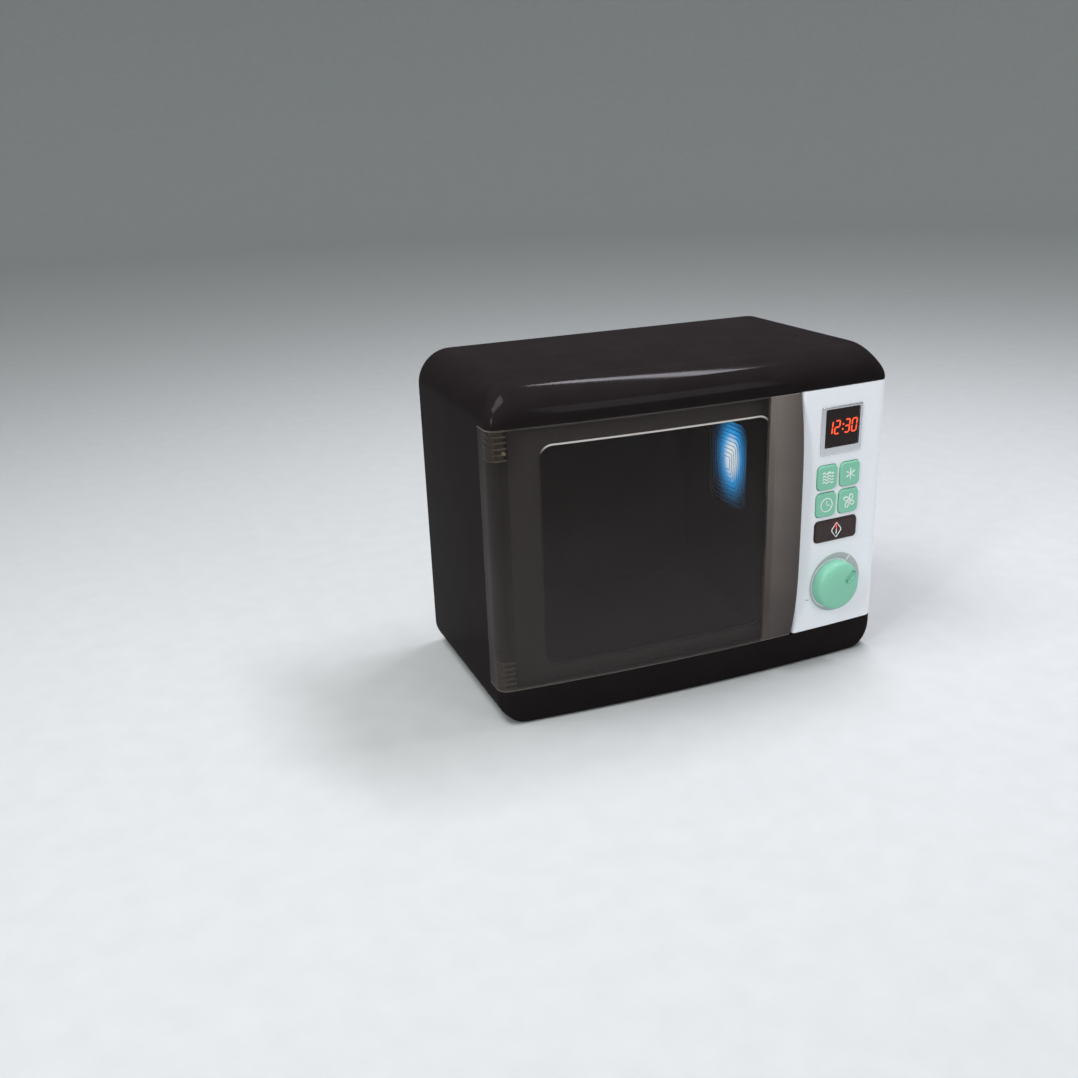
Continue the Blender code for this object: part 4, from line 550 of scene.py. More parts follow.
@dataclass(frozen=True)
class Metal:
    """A plated or bare metal with fine brushing along one axis."""

    name: str
    colour: Colour
    roughness: float
    brushing: Triple

    def material(self) -> bpy.types.Material:
        """The metal's material."""
        hand = Shader(self.name)
        lines = hand.noise(700.0, 5.0, self.brushing)
        hand.bump(lines, 0.000003)
        return hand.done(Base_Color=hand.mix(hand.remap(lines, 0.0, 1.0), self.colour, faded(self.colour, 0.92)),
                         Roughness=hand.remap(lines, self.roughness - 0.07, self.roughness + 0.08), Metallic=1.0)


@dataclass(frozen=True)
class Glow:
    """A lit surface whose light falls off from a centre, with the unlit colour round it."""

    name: str
    centre: Triple
    reach: Triple
    core: Colour
    halo: Colour
    unlit: Colour
    strength: float
    roughness: float = 0.2

    def material(self) -> bpy.types.Material:
        """The lit material."""
        hand = Shader(self.name)
        mapping = hand.add("ShaderNodeMapping", {"vector_type": "TEXTURE"}, Vector=hand.place,
                           Location=self.centre, Scale=self.reach)
        sphere = hand.add("ShaderNodeTexGradient", {"gradient_type": "SPHERICAL"}, Vector=mapping.outputs["Vector"])
        ramp = hand.add("ShaderNodeValToRGB", Fac=sphere.outputs["Fac"])
        stops = ramp.color_ramp.elements
        stops[0].position, stops[0].color = 0.0, (0.0, 0.0, 0.0, 1.0)
        stops[1].position, stops[1].color = 0.80, (*self.core, 1.0)
        for position, share in ((0.22, 0.05), (0.40, 0.35), (0.58, 1.0)):
            stop = stops.new(position)
            stop.color = (*faded(self.halo, share), 1.0)
        ripple = hand.noise(420.0, 2.0)
        return hand.done(Base_Color=hand.mix(hand.remap(ripple, 0.0, 1.0), self.unlit, faded(self.unlit, 0.8)),
                         Roughness=hand.remap(ripple, self.roughness, self.roughness + 0.1),
                         Emission_Color=ramp.outputs["Color"], Emission_Strength=self.strength)


@dataclass(frozen=True)
class Printed:
    """A printed or lit mark: its ink's own small unevenness, with a light of its own where it has one."""

    name: str
    colour: Colour
    light: float = 0.0
    roughness: float = 0.45

    def material(self) -> bpy.types.Material:
        """The mark's material."""
        hand = Shader(self.name)
        grain = hand.noise(2400.0, 3.0)
        paint = hand.mix(hand.remap(grain, 0.0, 1.0), self.colour, faded(self.colour, 0.86))
        hand.bump(grain, 0.000006)
        lit = {"Emission_Color": paint, "Emission_Strength": self.light} if self.light > 0.0 else {}
        return hand.done(Base_Color=paint, Roughness=hand.remap(grain, self.roughness, self.roughness + 0.12), **lit)


@dataclass(frozen=True)
class SmokedSheet:
    """See-through smoked plastic, dense where the grip is, with painted light in its colour.

    The colours are the sheet's and its painted reflection of the floor, which makes its foot lighter, the grip's
    painted highlight and the painted shade at its foot, and the painted highlight along the upper and lower edge.
    grip_x and grip_fall are where the grip starts and where the sheet's foot colour takes over, as painted shade
    towards the grip's right edge, wrap_x where the sheet turns round the corner, height where the painted reflection
    ends and clear how dense the sheet is at its foot and its top.
    """

    name: str = "door_smoked"
    colour: Colour = (0.024, 0.019, 0.018)
    floor_reflection: Colour = (0.050, 0.042, 0.042)
    grip: Colour = (0.165, 0.141, 0.128)
    grip_foot_shade: Colour = (0.088, 0.074, 0.068)
    painted_edge_highlight: Colour = (0.20, 0.18, 0.165)
    grip_x: Pair = (0.0440, 0.0448)
    grip_fall: Pair = (0.0500, 0.0672)
    wrap_x: Pair = (-0.1345, -0.1240)
    middle: float = 0.1039
    rim: Pair = (0.0801, 0.0807)
    height: Pair = (0.045, 0.165)
    clear: Pair = (0.46, 0.33)
    dense: float = 0.95
    turned_share: float = 0.62
    roughness: float = 0.060
    coat: float = 0.34

    def material(self) -> bpy.types.Material:
        """The sheet's material."""
        hand = Shader(self.name)
        parts = hand.add("ShaderNodeSeparateXYZ", Vector=hand.place).outputs
        drift = hand.remap(hand.noise(38.0, 4.0), -0.12, 0.12)
        # level is 0 at the door's foot and 1 at its top: the sheet's lighter foot colour is a painted reflection of the
        # floor.
        level = hand.sum("ADD", hand.remap(parts["Z"], 0.0, 1.0, *self.height), drift, clamp=True)
        grip = hand.remap(parts["X"], 0.0, 1.0, *self.grip_x)
        # The grip's lighter colour is a painted highlight on its raised bar. Towards its foot and towards its right
        # edge it darkens in painted shade, at the right falling to the sheet's foot colour.
        held = hand.mix(hand.remap(parts["X"], 0.0, self.turned_share, *self.grip_fall),
                        hand.mix(level, self.grip_foot_shade, self.grip), self.floor_reflection)
        sheet = hand.mix(grip, hand.mix(level, self.floor_reflection, self.colour), held)
        # away picks out the door's upper and lower edge, which get a painted highlight.
        away = hand.sum("ABSOLUTE", hand.sum("SUBTRACT", parts["Z"], self.middle))
        wrapped = hand.sum("MAXIMUM", hand.remap(level, *self.clear, 0.0, 1.0),
                           hand.remap(parts["X"], self.turned_share, 0.0, *self.wrap_x))
        alpha = hand.add("ShaderNodeMix")
        for index, value in ((0, grip), (2, wrapped), (3, self.dense)):
            hand.put(alpha.inputs[index], value)
        fine = hand.noise(140.0, 5.0, (1.0, 1.0, 5.0))
        return hand.done(Base_Color=hand.mix(hand.remap(away, 0.0, 1.0, *self.rim), sheet, self.painted_edge_highlight),
                         Alpha=alpha.outputs[0], Roughness=hand.remap(fine, self.roughness, self.roughness * 1.3),
                         Specular_IOR_Level=0.0, Coat_Weight=self.coat, Coat_Roughness=self.roughness)


@dataclass(frozen=True)
class PaintedHighlightEdge:
    """A dark edge with a painted highlight along its upper run, which also glows there."""

    name: str
    dark: Colour
    bright: Colour
    from_z: float
    to_z: float
    light: float

    def material(self) -> bpy.types.Material:
        """The edge's material."""
        hand = Shader(self.name)
        height = hand.add("ShaderNodeSeparateXYZ", Vector=hand.place).outputs["Z"]
        share = hand.remap(height, 0.0, 1.0, self.from_z, self.to_z)
        # paint is dark below from_z and a painted highlight above to_z, which is also given out as glow.
        paint = hand.mix(share, self.dark, self.bright)
        return hand.done(Base_Color=paint, Emission_Color=paint, Roughness=hand.remap(hand.noise(900.0), 0.18, 0.26),
                         Emission_Strength=hand.remap(share, 0.0, self.light, 0.0, 1.0))


@dataclass(frozen=True)
class Circuit:
    """A circuit board: green lacquer over faint copper tracks that run in steps."""

    name: str = "circuit_lacquer"

    def material(self) -> bpy.types.Material:
        """The board's material."""
        hand = Shader(self.name)
        mapped = hand.add("ShaderNodeMapping", Vector=hand.place, Scale=(1.0, 0.2, 1.0)).outputs["Vector"]
        cells = hand.add("ShaderNodeTexVoronoi", {"distance": "MANHATTAN", "feature": "F1"},
                         Vector=mapped, Scale=170.0, Randomness=0.6).outputs["Distance"]
        tracks = hand.remap(cells, 0.0, 1.0, 0.42, 0.46)
        hand.bump(tracks, 0.00003)
        return hand.done(Base_Color=hand.mix(tracks, (0.010, 0.085, 0.035), (0.035, 0.20, 0.07)),
                         Roughness=hand.remap(tracks, 0.30, 0.42, 0.0, 1.0))


SHELL_SKIN = Moulded("shell_gloss_black", (0.0105, 0.0082, 0.0086), (0.0125, 0.0098, 0.0102), 0.45, 0.10,
                     grain=700.0, grain_depth=0.000005, specular=0.0, coat=0.075, coat_roughness=0.10)
BACK_SKIN = Moulded("back_satin_black", (0.012, 0.0105, 0.011), (0.016, 0.014, 0.0145), 0.42, 0.14,
                    grain=1500.0, grain_depth=0.00006, specular=0.20)
FRAME_SKIN = Moulded("frame_dark", (0.112, 0.092, 0.087), (0.124, 0.102, 0.097), 0.42, 0.10, grain=1100.0,
                     specular=0.25)
OVEN_SKIN = Moulded("oven_dark", (0.0085, 0.0052, 0.0048), (0.014, 0.0092, 0.0085), 0.36, 0.16, grain=500.0,
                    grain_depth=0.00006, specular=0.22)
DOOR_SKIN = SmokedSheet()
HINGE_SKIN = Moulded("hinge_amber_smoke", (0.115, 0.090, 0.062), (0.140, 0.108, 0.074), 0.22, 0.08, alpha=0.85)
STUD_SKIN = Moulded("hinge_stud", (0.30, 0.22, 0.13), (0.26, 0.19, 0.11), 0.30, 0.08)
PANEL_SKIN = Moulded("panel_white", (0.92, 0.94, 0.98), (0.90, 0.925, 0.97), 0.30, 0.10, grain=1200.0)
MINT_SKIN = Moulded("mint_green", (0.252, 0.620, 0.442), (0.240, 0.598, 0.426), 0.33, 0.10, grain=1000.0,
                    specular=0.35)
# A darker mint for the lip round the knob's pointer recess: painted shade that outlines the recess.
RECESS_SHADE_SKIN = Moulded("mint_recess_painted_shade", (0.140, 0.410, 0.285), (0.130, 0.385, 0.268), 0.40, 0.10, grain=1000.0)
START_SKIN = Moulded("start_dark", (0.034, 0.018, 0.017), (0.037, 0.020, 0.019), 0.28, 0.08, grain=1300.0,
                     specular=0.3, scuff=0.1)
WINDOW_SKIN = Moulded("window_dark", (0.0115, 0.0045, 0.004), (0.0135, 0.0055, 0.005), 0.07, 0.04, grain=600.0,
                      grain_depth=0.000004, specular=0.25)
RUBBER_SKIN = Moulded("keypad_rubber", (0.20, 0.20, 0.21), (0.23, 0.23, 0.24), 0.72, 0.16, grain=1600.0)
WHITE_SKIN = Moulded("inner_white", (0.70, 0.70, 0.68), (0.66, 0.66, 0.63), 0.42, 0.12)
WIRE_SKIN = Moulded("wire_sleeve", (0.42, 0.020, 0.018), (0.36, 0.016, 0.015), 0.44, 0.10, grain=2500.0)
CELL_SKIN = Moulded("cell_sleeve", (0.05, 0.055, 0.062), (0.065, 0.07, 0.078), 0.30, 0.12, grain=400.0)
LAMP_SKIN = Moulded("lamp_clear", (0.62, 0.68, 0.74), (0.55, 0.62, 0.70), 0.14, 0.08)
SILVER = Metal("bezel_silver", (0.74, 0.75, 0.78), 0.24, (1.0, 1.0, 5.0))
STEEL = Metal("screw_steel", (0.46, 0.46, 0.47), 0.33, (3.0, 1.0, 3.0))
# The opening's rim: a painted highlight along its top run, which also glows.
RIM_HIGHLIGHT_SKIN = PaintedHighlightEdge("opening_edge_painted_highlight", (0.040, 0.034, 0.034), (0.92, 0.89, 0.86), 0.1660, 0.1706, 0.85)
ICON_INK = Printed("icon_white", (0.86, 0.92, 0.90))
RED_INK = Printed("start_red", (0.95, 0.07, 0.05), 0.9)
RING_INK = Printed("dial_grey", (0.52, 0.545, 0.555))
TICK_INK = Printed("dial_tick", (0.33, 0.35, 0.37))
LIGHT_INK = Printed("dial_light", (0.90, 0.92, 0.95))
DIGITS = Printed("digits_lit", (1.0, 0.085, 0.022), 0.9)
FLOOR_SKIN = Moulded("floor_pale", (0.44, 0.45, 0.45), (0.42, 0.43, 0.43), 0.75, 0.06, grain=60.0,
                     grain_depth=0.00005)
BOARD_SKIN = Circuit()

_made: dict[str, bpy.types.Material] = {}


def material_of(finish: object) -> bpy.types.Material:
    """The material of a finish, made once."""
    name = finish.name
    if name not in _made:
        _made[name] = finish.material()
    return _made[name]


def dressed(mesh: Mesh, finish: object) -> None:
    """Give a mesh one finish all over."""
    mesh.materials.clear()
    mesh.materials.append(material_of(finish))
    for face in mesh.polygons:
        face.material_index = 0


def placed(name: str, mesh: Mesh, finish: object, body: Body,
           stands_for: Sequence[str] = (), sharp: float = 32.0) -> bpy.types.Object:
    """Put a finished mesh into the scene as a piece of the toy.

    Args:
        name: The piece's name.
        mesh: Its mesh, already in place.
        finish: The finish that it gets.
        body: The body that it rides on.
        stands_for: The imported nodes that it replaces.
        sharp: The angle in degrees past which an edge stays sharp.

    Returns:
        The piece.
    """
    item = linked(name, mesh)
    mesh.name = name
    dressed(mesh, finish)
    mesh.shade_smooth()
    mesh.set_sharp_from_angle(angle=math.radians(sharp))
    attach(item, body.value)
    if stands_for:
        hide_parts(*stands_for)
    log.info("%s: %d faces on %s", name, len(mesh.polygons), body.value)
    return item


COVER_SCREWS = tuple(f"cover_screw_{number}" for number in range(1, 5))


def middle_of(node: str) -> Vector:
    """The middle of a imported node's box."""
    low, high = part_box(node)
    return (low + high) / 2.0


class Growth(Tree):
    """A Geometry Nodes tree being built, and the modifier that runs it."""

    def __init__(self, name: str) -> None:
        """Start a tree with one geometry in and one out."""
        super().__init__(bpy.data.node_groups.new(name, "GeometryNodeTree"))
        self.tree.is_modifier = True
        for way in ("INPUT", "OUTPUT"):
            self.tree.interface.new_socket("Geometry", in_out=way, socket_type="NodeSocketGeometry")
        self.source = self.tree.nodes.new("NodeGroupInput")
        self.result = self.tree.nodes.new("NodeGroupOutput")
        self.sizes: dict[str, str] = {}

    def size(self, name: str, kind: str = "Float") -> Socket:
        """Add a named input and give its socket inside the tree."""
        made = self.tree.interface.new_socket(name, in_out="INPUT", socket_type=f"NodeSocket{kind}")
        self.sizes[name] = made.identifier
        return self.source.outputs[name]

    def shape(self, kind: str, settings: Optional[dict] = None, **values: object) -> Socket:
        """Add a node of Geometry Nodes and give its first output."""
        return self.add(f"GeometryNode{kind}", settings, **values).outputs[0]

    def vector(self, x: object = 0.0, y: object = 0.0, z: object = 0.0) -> Socket:
        """Three values as one vector."""
        return self.add("ShaderNodeCombineXYZ", X=x, Y=y, Z=z).outputs[0]

    def bead(self, line: Socket, radius: Socket, sides: object, caps: bool = False) -> Socket:
        """A round bead along a curve."""
        profile = self.shape("CurvePrimitiveCircle", Resolution=sides, Radius=radius)
        bead = self.add("GeometryNodeCurveToMesh", Curve=line, Profile_Curve=profile)
        for socket in bead.inputs:
            if socket.name == "Fill Caps":
                socket.default_value = caps
        return bead.outputs[0]

    def end(self, shape: Socket) -> "Growth":
        """Close the tree: realize what is instanced and set its material."""
        real = self.shape("RealizeInstances", Geometry=shape)
        dressed = self.shape("SetMaterial", Geometry=real, Material=self.size("Finish", "Material"))
        self.tree.links.new(dressed, self.result.inputs[0])
        return self

    def grown(self, seed: Mesh, finish: object, **values: object) -> Mesh:
        """Run the tree on a mesh and give the plain mesh that comes out.

        Args:
            seed: The mesh that the tree starts from.
            finish: The finish that its faces get.
            values: The tree's inputs by name, with _ for a space.

        Returns:
            The finished plain mesh.
        """
        item = loose(self.tree.name, seed)
        change = item.modifiers.new("grow", "NODES")
        change.node_group = self.tree
        change[self.sizes["Finish"]] = material_of(finish)
        for key, value in values.items():
            change[self.sizes[key.replace("_", " ")]] = value
        mesh = settled(item)
        work = bmesh.new()
        work.from_mesh(mesh)
        return written(work, mesh)


def stroke_tree() -> Growth:
    """A tree that runs a round bead along the edges of a mesh."""
    growth = Growth("stroke")
    radius, sides = growth.size("Radius"), growth.size("Sides", "Int")
    line = growth.shape("MeshToCurve", Mesh=growth.source.outputs[0])
    return growth.end(growth.bead(line, radius, sides, caps=True))


def stack_tree() -> Growth:
    """A tree that repeats a body at even steps up Z."""
    growth = Growth("stack")
    line = growth.shape("MeshLine", Count=growth.size("Count", "Int"), Offset=growth.vector(z=growth.size("Pitch")))
    return growth.end(growth.shape("InstanceOnPoints", Points=line, Instance=growth.source.outputs[0]))


def screw_tree(crest: float = 0.62, sink: float = 0.48, slot: Pair = (1.1, 0.20)) -> Growth:
    """A tree that stands a pan-head screw with a cross recess on each point, with its axis along Y.

    Args:
        crest: The head's upper radius, as a share of its lower one.
        sink: How far down the shank lies, as a share of its length.
        slot: The run and width of the recess's bars, as shares of the head's radius.

    Returns:
        The tree.
    """
    growth = Growth("screws")
    head, height = growth.size("Head Radius"), growth.size("Head Height")
    shank, length = growth.size("Shank Radius"), growth.size("Length")
    crown = growth.shape("MeshCone", Vertices=28, Side_Segments=3, Radius_Top=growth.sum("MULTIPLY", head, crest),
                         Radius_Bottom=head, Depth=height)
    rod = growth.shape("MeshCylinder", Vertices=16, Radius=shank, Depth=length)
    sunk = growth.shape("Transform", Geometry=rod, Translation=growth.vector(z=growth.sum("MULTIPLY", length, -sink)))
    carve = growth.add("GeometryNodeMeshBoolean", {"operation": "DIFFERENCE"}, Mesh_1=crown)
    bar, thin = (growth.sum("MULTIPLY", head, share) for share in slot)
    for across, along in ((bar, thin), (thin, bar)):
        cube = growth.shape("MeshCube", Size=growth.vector(across, along, height))
        raised = growth.shape("Transform", Geometry=cube, Translation=growth.vector(z=height))
        growth.tree.links.new(raised, carve.inputs["Mesh 2"])
    joined = growth.add("GeometryNodeJoinGeometry")
    for shape in (carve.outputs[0], sunk):
        growth.tree.links.new(shape, joined.inputs[0])
    facing = growth.shape("Transform", Geometry=joined.outputs[0], Rotation=(-math.pi / 2.0, 0.0, 0.0))
    return growth.end(growth.shape("InstanceOnPoints", Points=growth.source.outputs[0], Instance=facing))


def rings_tree() -> Growth:
    """A tree that stands a round rim on each point, facing along Y."""
    growth = Growth("rims")
    path = growth.shape("CurvePrimitiveCircle", Resolution=20, Radius=growth.size("Radius"))
    rim = growth.bead(path, growth.size("Wall"), 8)
    facing = growth.shape("Transform", Geometry=rim, Rotation=(math.pi / 2.0, 0.0, 0.0))
    return growth.end(growth.shape("InstanceOnPoints", Points=growth.source.outputs[0], Instance=facing))


def ripple_tree() -> Growth:
    """A tree that repeats a closed outline about a centre, each a step smaller, as fine raised lines."""
    growth = Growth("ripples")
    count, shrink = growth.size("Count", "Int"), growth.size("Shrink")
    centre, radius = growth.size("Centre", "Vector"), growth.size("Radius")
    points = growth.shape("MeshLine", Count=count, Offset=(0.0, 0.0, 0.0))
    moved = growth.shape("SetPosition", Geometry=points, Position=centre)
    scale = growth.sum("SUBTRACT", 1.0, growth.sum("MULTIPLY", growth.shape("InputIndex"), shrink))
    away = growth.add("ShaderNodeVectorMath", {"operation": "SCALE"}, Scale=-1.0)
    growth.tree.links.new(centre, away.inputs[0])
    home = growth.shape("Transform", Geometry=growth.source.outputs[0], Translation=away.outputs[0])
    put = growth.shape("InstanceOnPoints", Points=moved, Instance=home, Scale=growth.vector(1.0, scale, scale))
    line = growth.shape("MeshToCurve", Mesh=growth.shape("RealizeInstances", Geometry=put))
    return growth.end(growth.bead(line, radius, 6))


def edges_mesh(paths: Iterable[tuple[Sequence[Vector], bool]]) -> Mesh:
    """Lines as a mesh of edges alone.

    Args:
        paths: Each path's points, and whether it closes on itself.

    Returns:
        The mesh.
    """
    points: list[Vector] = []
    edges: list[tuple[int, int]] = []
    for path, loops in paths:
        start = len(points)
        points += list(path)
        edges += [(start + index, start + index + 1) for index in range(len(path) - 1)]
        if loops:
            edges.append((len(points) - 1, start))
    mesh = bpy.data.meshes.new("lines")
    mesh.from_pydata([tuple(point) for point in points], edges, [])
    return mesh


def points_mesh(places: Iterable[Sequence[float]]) -> Mesh:
    """Places as a mesh of single points."""
    mesh = bpy.data.meshes.new("points")
    mesh.from_pydata([tuple(place) for place in places], [], [])
    return mesh


@dataclass
class Case:
    """The housing: one glossy moulding with its visor, base and soft edges."""

    wall: float = 0.0025
    top_round: float = 0.0225
    base_round: float = 0.0165
    foot_round: float = 0.0030
    back_round: float = 0.0050
    ledge_depth: float = 0.030
    cover_inset: float = 0.0075
    stop_rim: float = 0.0022
    rim: float = 0.0065
    cover_recess: float = 0.0032
    cover_wall: float = 0.0022
    boss_length: float = 0.030
    boss_radius: float = 0.0040
    boss_gap: float = 0.0006
    seat: float = 0.0003
    over: float = 0.010
    fade_steps: tuple[float, ...] = (0.4, 0.7, 1.0)
    corner_steps: int = 16
    bow_steps: int = 28

    def ring(self, depth: float, inset: float) -> tuple[Ring, Ring]:
        """One ring of the housing at a depth: its upper and lower chain, each from left to right.

        Args:
            depth: How far behind the front the ring lies.
            inset: How far the whole form is drawn in.

        Returns:
            The two chains.
        """
        behind = drawn_in(max(self.back_round - inset, 0.0), BOW.depth - inset - depth)
        ahead = depth - inset
        side = drawn_in(max(CORNER_ROUND - inset, LEAST_ROUND), ahead) + behind
        half = BOW.half - inset - side
        chains = []
        for level, radius, edge_round, sense in (
                (BOW.height - inset, self.top_round - inset, self.top_round - inset, 1.0),
                (inset, self.base_round - inset, max(self.foot_round - inset, LEAST_ROUND), -1.0)):
            drawn = drawn_in(edge_round, ahead) + behind
            across, rise, edge = radius - side, radius - drawn, level - sense * drawn
            corner = [(half - across * (1.0 - math.cos(angle)), edge - sense * rise * (1.0 - math.sin(angle)))
                      for angle in quarter(self.corner_steps)]
            chain = [(-x, z) for x, z in corner]
            chain += [(x, edge) for x in between(across - half, half - across, self.bow_steps)] + corner[::-1]
            chains.append([Vector((x, BOW.front(x, depth), z)) for x, z in chain])
        return chains[0], chains[1]

    def form(self, inset: float, back: float) -> Mesh:
        """The housing's closed form, drawn in all round by an inset, as far back as a depth."""
        depths = {inset} | {BOW.fade * share for share in self.fade_steps}
        for radius, count in ((CORNER_ROUND - inset, 8), (self.top_round - inset, 12)):
            depths |= {inset + drawn for drawn, _ in rolled(radius, count)[1:]}
        if back < BOW.depth:
            depths.add(back)
        else:
            depths |= {BOW.depth - behind for _, behind in rolled(self.back_round, 6)}
        work = bmesh.new()
        rows = []
        for depth in sorted(depths):
            upper, lower = ([work.verts.new(point) for point in chain] for chain in self.ring(depth, inset))
            rows.append(upper + lower[::-1])
        woven(work, rows)
        for row in (rows[0], rows[-1]):
            half = len(row) // 2
            woven(work, [row[:half], row[:half - 1:-1]], wraps=False)
        return written(work)

    def outline(self, inset: float) -> Loop:
        """The housing's outline, drawn in by an inset."""
        half, top, base = BOW.half - inset, self.top_round - inset, self.base_round - inset
        points: Loop = []
        for side, z, radius, start in ((1, BOW.height - inset - top, top, 0), (-1, BOW.height - inset - top, top, 1),
                                       (-1, inset + base, base, 2), (1, inset + base, base, 3)):
            points += [(side * (half - radius) + radius * math.cos(angle), z + radius * math.sin(angle))
                       for angle in quarter(self.corner_steps, start, start + 1)]
        return points

    def shell(self) -> Mesh:
        """The housing's mesh, open at its front and back."""
        reach, ahead = BOW.half + self.over, BOW.plane - self.over
        ledge_y = BOW.plane + self.ledge_depth
        soffit = BOW.height - BOW.visor_height
        ledges = [block((-reach, ahead, low), (reach, ledge_y, low + self.wall))
                  for low in (soffit, BOW.base_height - self.wall)]
        cavity = carved(self.form(self.wall, BOW.depth - self.rim), ledges)
        side_y = BOW.plane + WRAP_DEPTH + self.seat
        inner = BOW.half - self.wall
        front = upright([(-reach, ahead), (reach, ahead), (reach, side_y), (BOW.half, side_y),
                         (inner, side_y + self.wall), (-inner, side_y + self.wall), (-BOW.half, side_y),
                         (-reach, side_y)], (BOW.base_height, soffit))
        recess = prism(self.outline(self.cover_inset), self.stop(), BOW.back + self.over)
        way = prism(self.outline(self.cover_inset + self.stop_rim), BOW.back - self.rim - self.over,
                    BOW.back + self.over)
        return carved(self.form(0.0, BOW.depth), [cavity, front, recess, way])

    def stop(self) -> float:
        """The y of the rim that the back cover rests on."""
        return BOW.back - self.cover_recess - self.cover_wall - self.seat

    def posts(self) -> Mesh:
        """The posts that the cover's screws go into."""
        return gathered(prism(circle(self.boss_radius, 24, (place.x, place.z)), self.stop() - self.boss_length,
                              self.stop() - self.boss_gap) for place in map(middle_of, COVER_SCREWS))

    def build(self) -> None:
        """Make the housing and its inner posts."""
        placed("housing", self.shell(), SHELL_SKIN, Body.CASE, ["housing_shell"], 28.0)
        placed("cover_posts", self.posts(), BACK_SKIN, Body.CASE)


@dataclass
class Door:
    """The smoked door: a bowed sheet wrapped round the left corner, its grip and its hinge blocks."""

    right: float = 0.0674
    back_edge: float = 0.0080
    ease: float = 0.00045
    grip_left: float = 0.0445
    grip_edge: float = 0.0018
    grip_rise: float = 0.0067
    grip_share: float = 0.78
    grip_ease: float = 0.35
    grip_power: float = 4.2
    hinge_x: float = -0.1300
    hinge_depth: float = 0.0110
    rib: float = 0.0012
    ribs: int = 6
    block_height: float = 0.0185
    block_width: float = 0.0110
    block_depth: float = 0.0135
    core_inset: float = 0.0010
    sink: float = 0.0006
    bore: float = 0.0036
    bore_ends: Pair = (0.03, -0.005)
    boss: float = 0.0034
    boss_bore: float = 0.0017
    boss_ease: float = 0.0004
    stud: Triple = (-0.1255, 0.1710, 0.0012)
    stud_rings: tuple[Pair, ...] = ((0.75, 0.0012), (1.0, 0.0015), (1.0, 0.0022))
    tongue_x: float = 0.0605
    tongue_half: float = 0.0015
    tongue_end: float = 0.0140
    tongue_rise: float = 0.005
    hook: tuple[Pair, ...] = ((0.0, 0.0036), (0.0004, 0.0018), (-0.0009, 0.0))
    levels: int = 64

    def share(self, x: float) -> float:
        """How much of its full rise the grip has at an x, with its steep edge eased at both ends."""
        if x <= self.grip_left:
            return 0.0
        start = self.grip_left + self.grip_edge
        if x < start:
            run = (x - self.grip_left) / self.grip_edge
            return self.grip_share * (run * run * (3.0 - 2.0 * run) * self.grip_ease + run * (1.0 - self.grip_ease))
        run = min((x - start) / (self.right - start), 1.0)
        return self.grip_share + (1.0 - self.grip_share) * math.sin(math.pi / 2.0 * run)

    def plan(self) -> tuple[Loop, list[float]]:
        """The door's outer plan from its left end to its right, and each point's share of the grip."""
        left, edge = wrapped(-1.0), edged(self.right, 1.0, self.back_edge)
        crest = self.grip_left + self.grip_edge
        across = between(left[-1][0], self.grip_left, 56) + [self.grip_left]
        across += between(self.grip_left, crest, 6) + [crest] + between(crest, edge[0][0], 18)
        flat = left + [(x, BOW.front(x)) for x in across] + edge
        shares = [0.0] * len(left) + [self.share(x) for x in across] + [1.0] * (len(edge) - 1) + [0.0]
        return flat, shares

    def leaf(self) -> Mesh:
        """The door's sheet with its grip, as a closed mesh."""
        flat, shares = self.plan()
        rows = []
        for level in range(self.levels + 1):
            swing = -math.cos(math.pi * level / self.levels)
            z = (BOW.high + BOW.low) / 2.0 + (BOW.high - BOW.low) / 2.0 * swing
            rise = self.grip_rise * (1.0 - abs(swing) ** self.grip_power)
            rows.append([Vector((x, y - rise * share, z)) for (x, y), share in zip(flat, shares)])
        return walled(rows, FRONT_WALL, self.ease)

    def rib_plate(self, inset: float, height: float) -> Mesh:
        """One rib of a hinge block, or its core where it is drawn in, standing on height zero."""
        radius = CORNER_ROUND - FRONT_WALL / 2.0 - inset
        plan = [(CORNER_ROUND - BOW.half + radius * math.cos(angle),
                 BOW.plane + CORNER_ROUND + radius * math.sin(angle)) for angle in quarter(8, 2.0, 3.0)]
        right = self.block_width - BOW.half - inset
        far = BOW.plane + self.block_depth - inset
        plan += [(right, BOW.front(right) + FRONT_WALL - self.sink + inset), (right, far), (plan[0][0], far)]
        return upright(plan, (0.0, height))

    def hinge(self, label: str, start: float, stack: Growth) -> None:
        """Make one hinge block: its ribs, its core and the boss round its pin.

        Args:
            label: Which of the two blocks.
            start: The z of its foot.
            stack: The tree that repeats its ribs.
        """
        tall = self.block_height - self.rib
        ribs = stack.grown(self.rib_plate(0.0, self.rib), HINGE_SKIN, Count=self.ribs, Pitch=tall / (self.ribs - 1))
        axis = Matrix.Translation((self.hinge_x, BOW.plane + self.hinge_depth, 0.0))
        top, foot = self.bore_ends
        core = carved(self.rib_plate(self.core_inset, self.block_height), [turned(
            [(0.0, top), (self.bore, top), (self.bore, foot), (0.0, foot)], axis, 40)])
        inner, crest, outer = self.boss_bore, self.boss - self.boss_ease, self.boss
        raised = Matrix.Translation((0.0, 0.0, self.rib / 2.0)) @ axis
        boss = turned([(inner, tall), (crest, tall), (outer, tall - self.boss_ease), (outer, self.boss_ease),
                       (crest, 0.0), (inner, 0.0), (inner, tall)], raised, 40)
        for part, mesh in (("ribs", ribs), ("core", core), ("boss", boss)):
            mesh.transform(Matrix.Translation((0.0, 0.0, start)))
            placed(f"hinge_{part}_{label}", mesh, HINGE_SKIN, Body.DOOR)

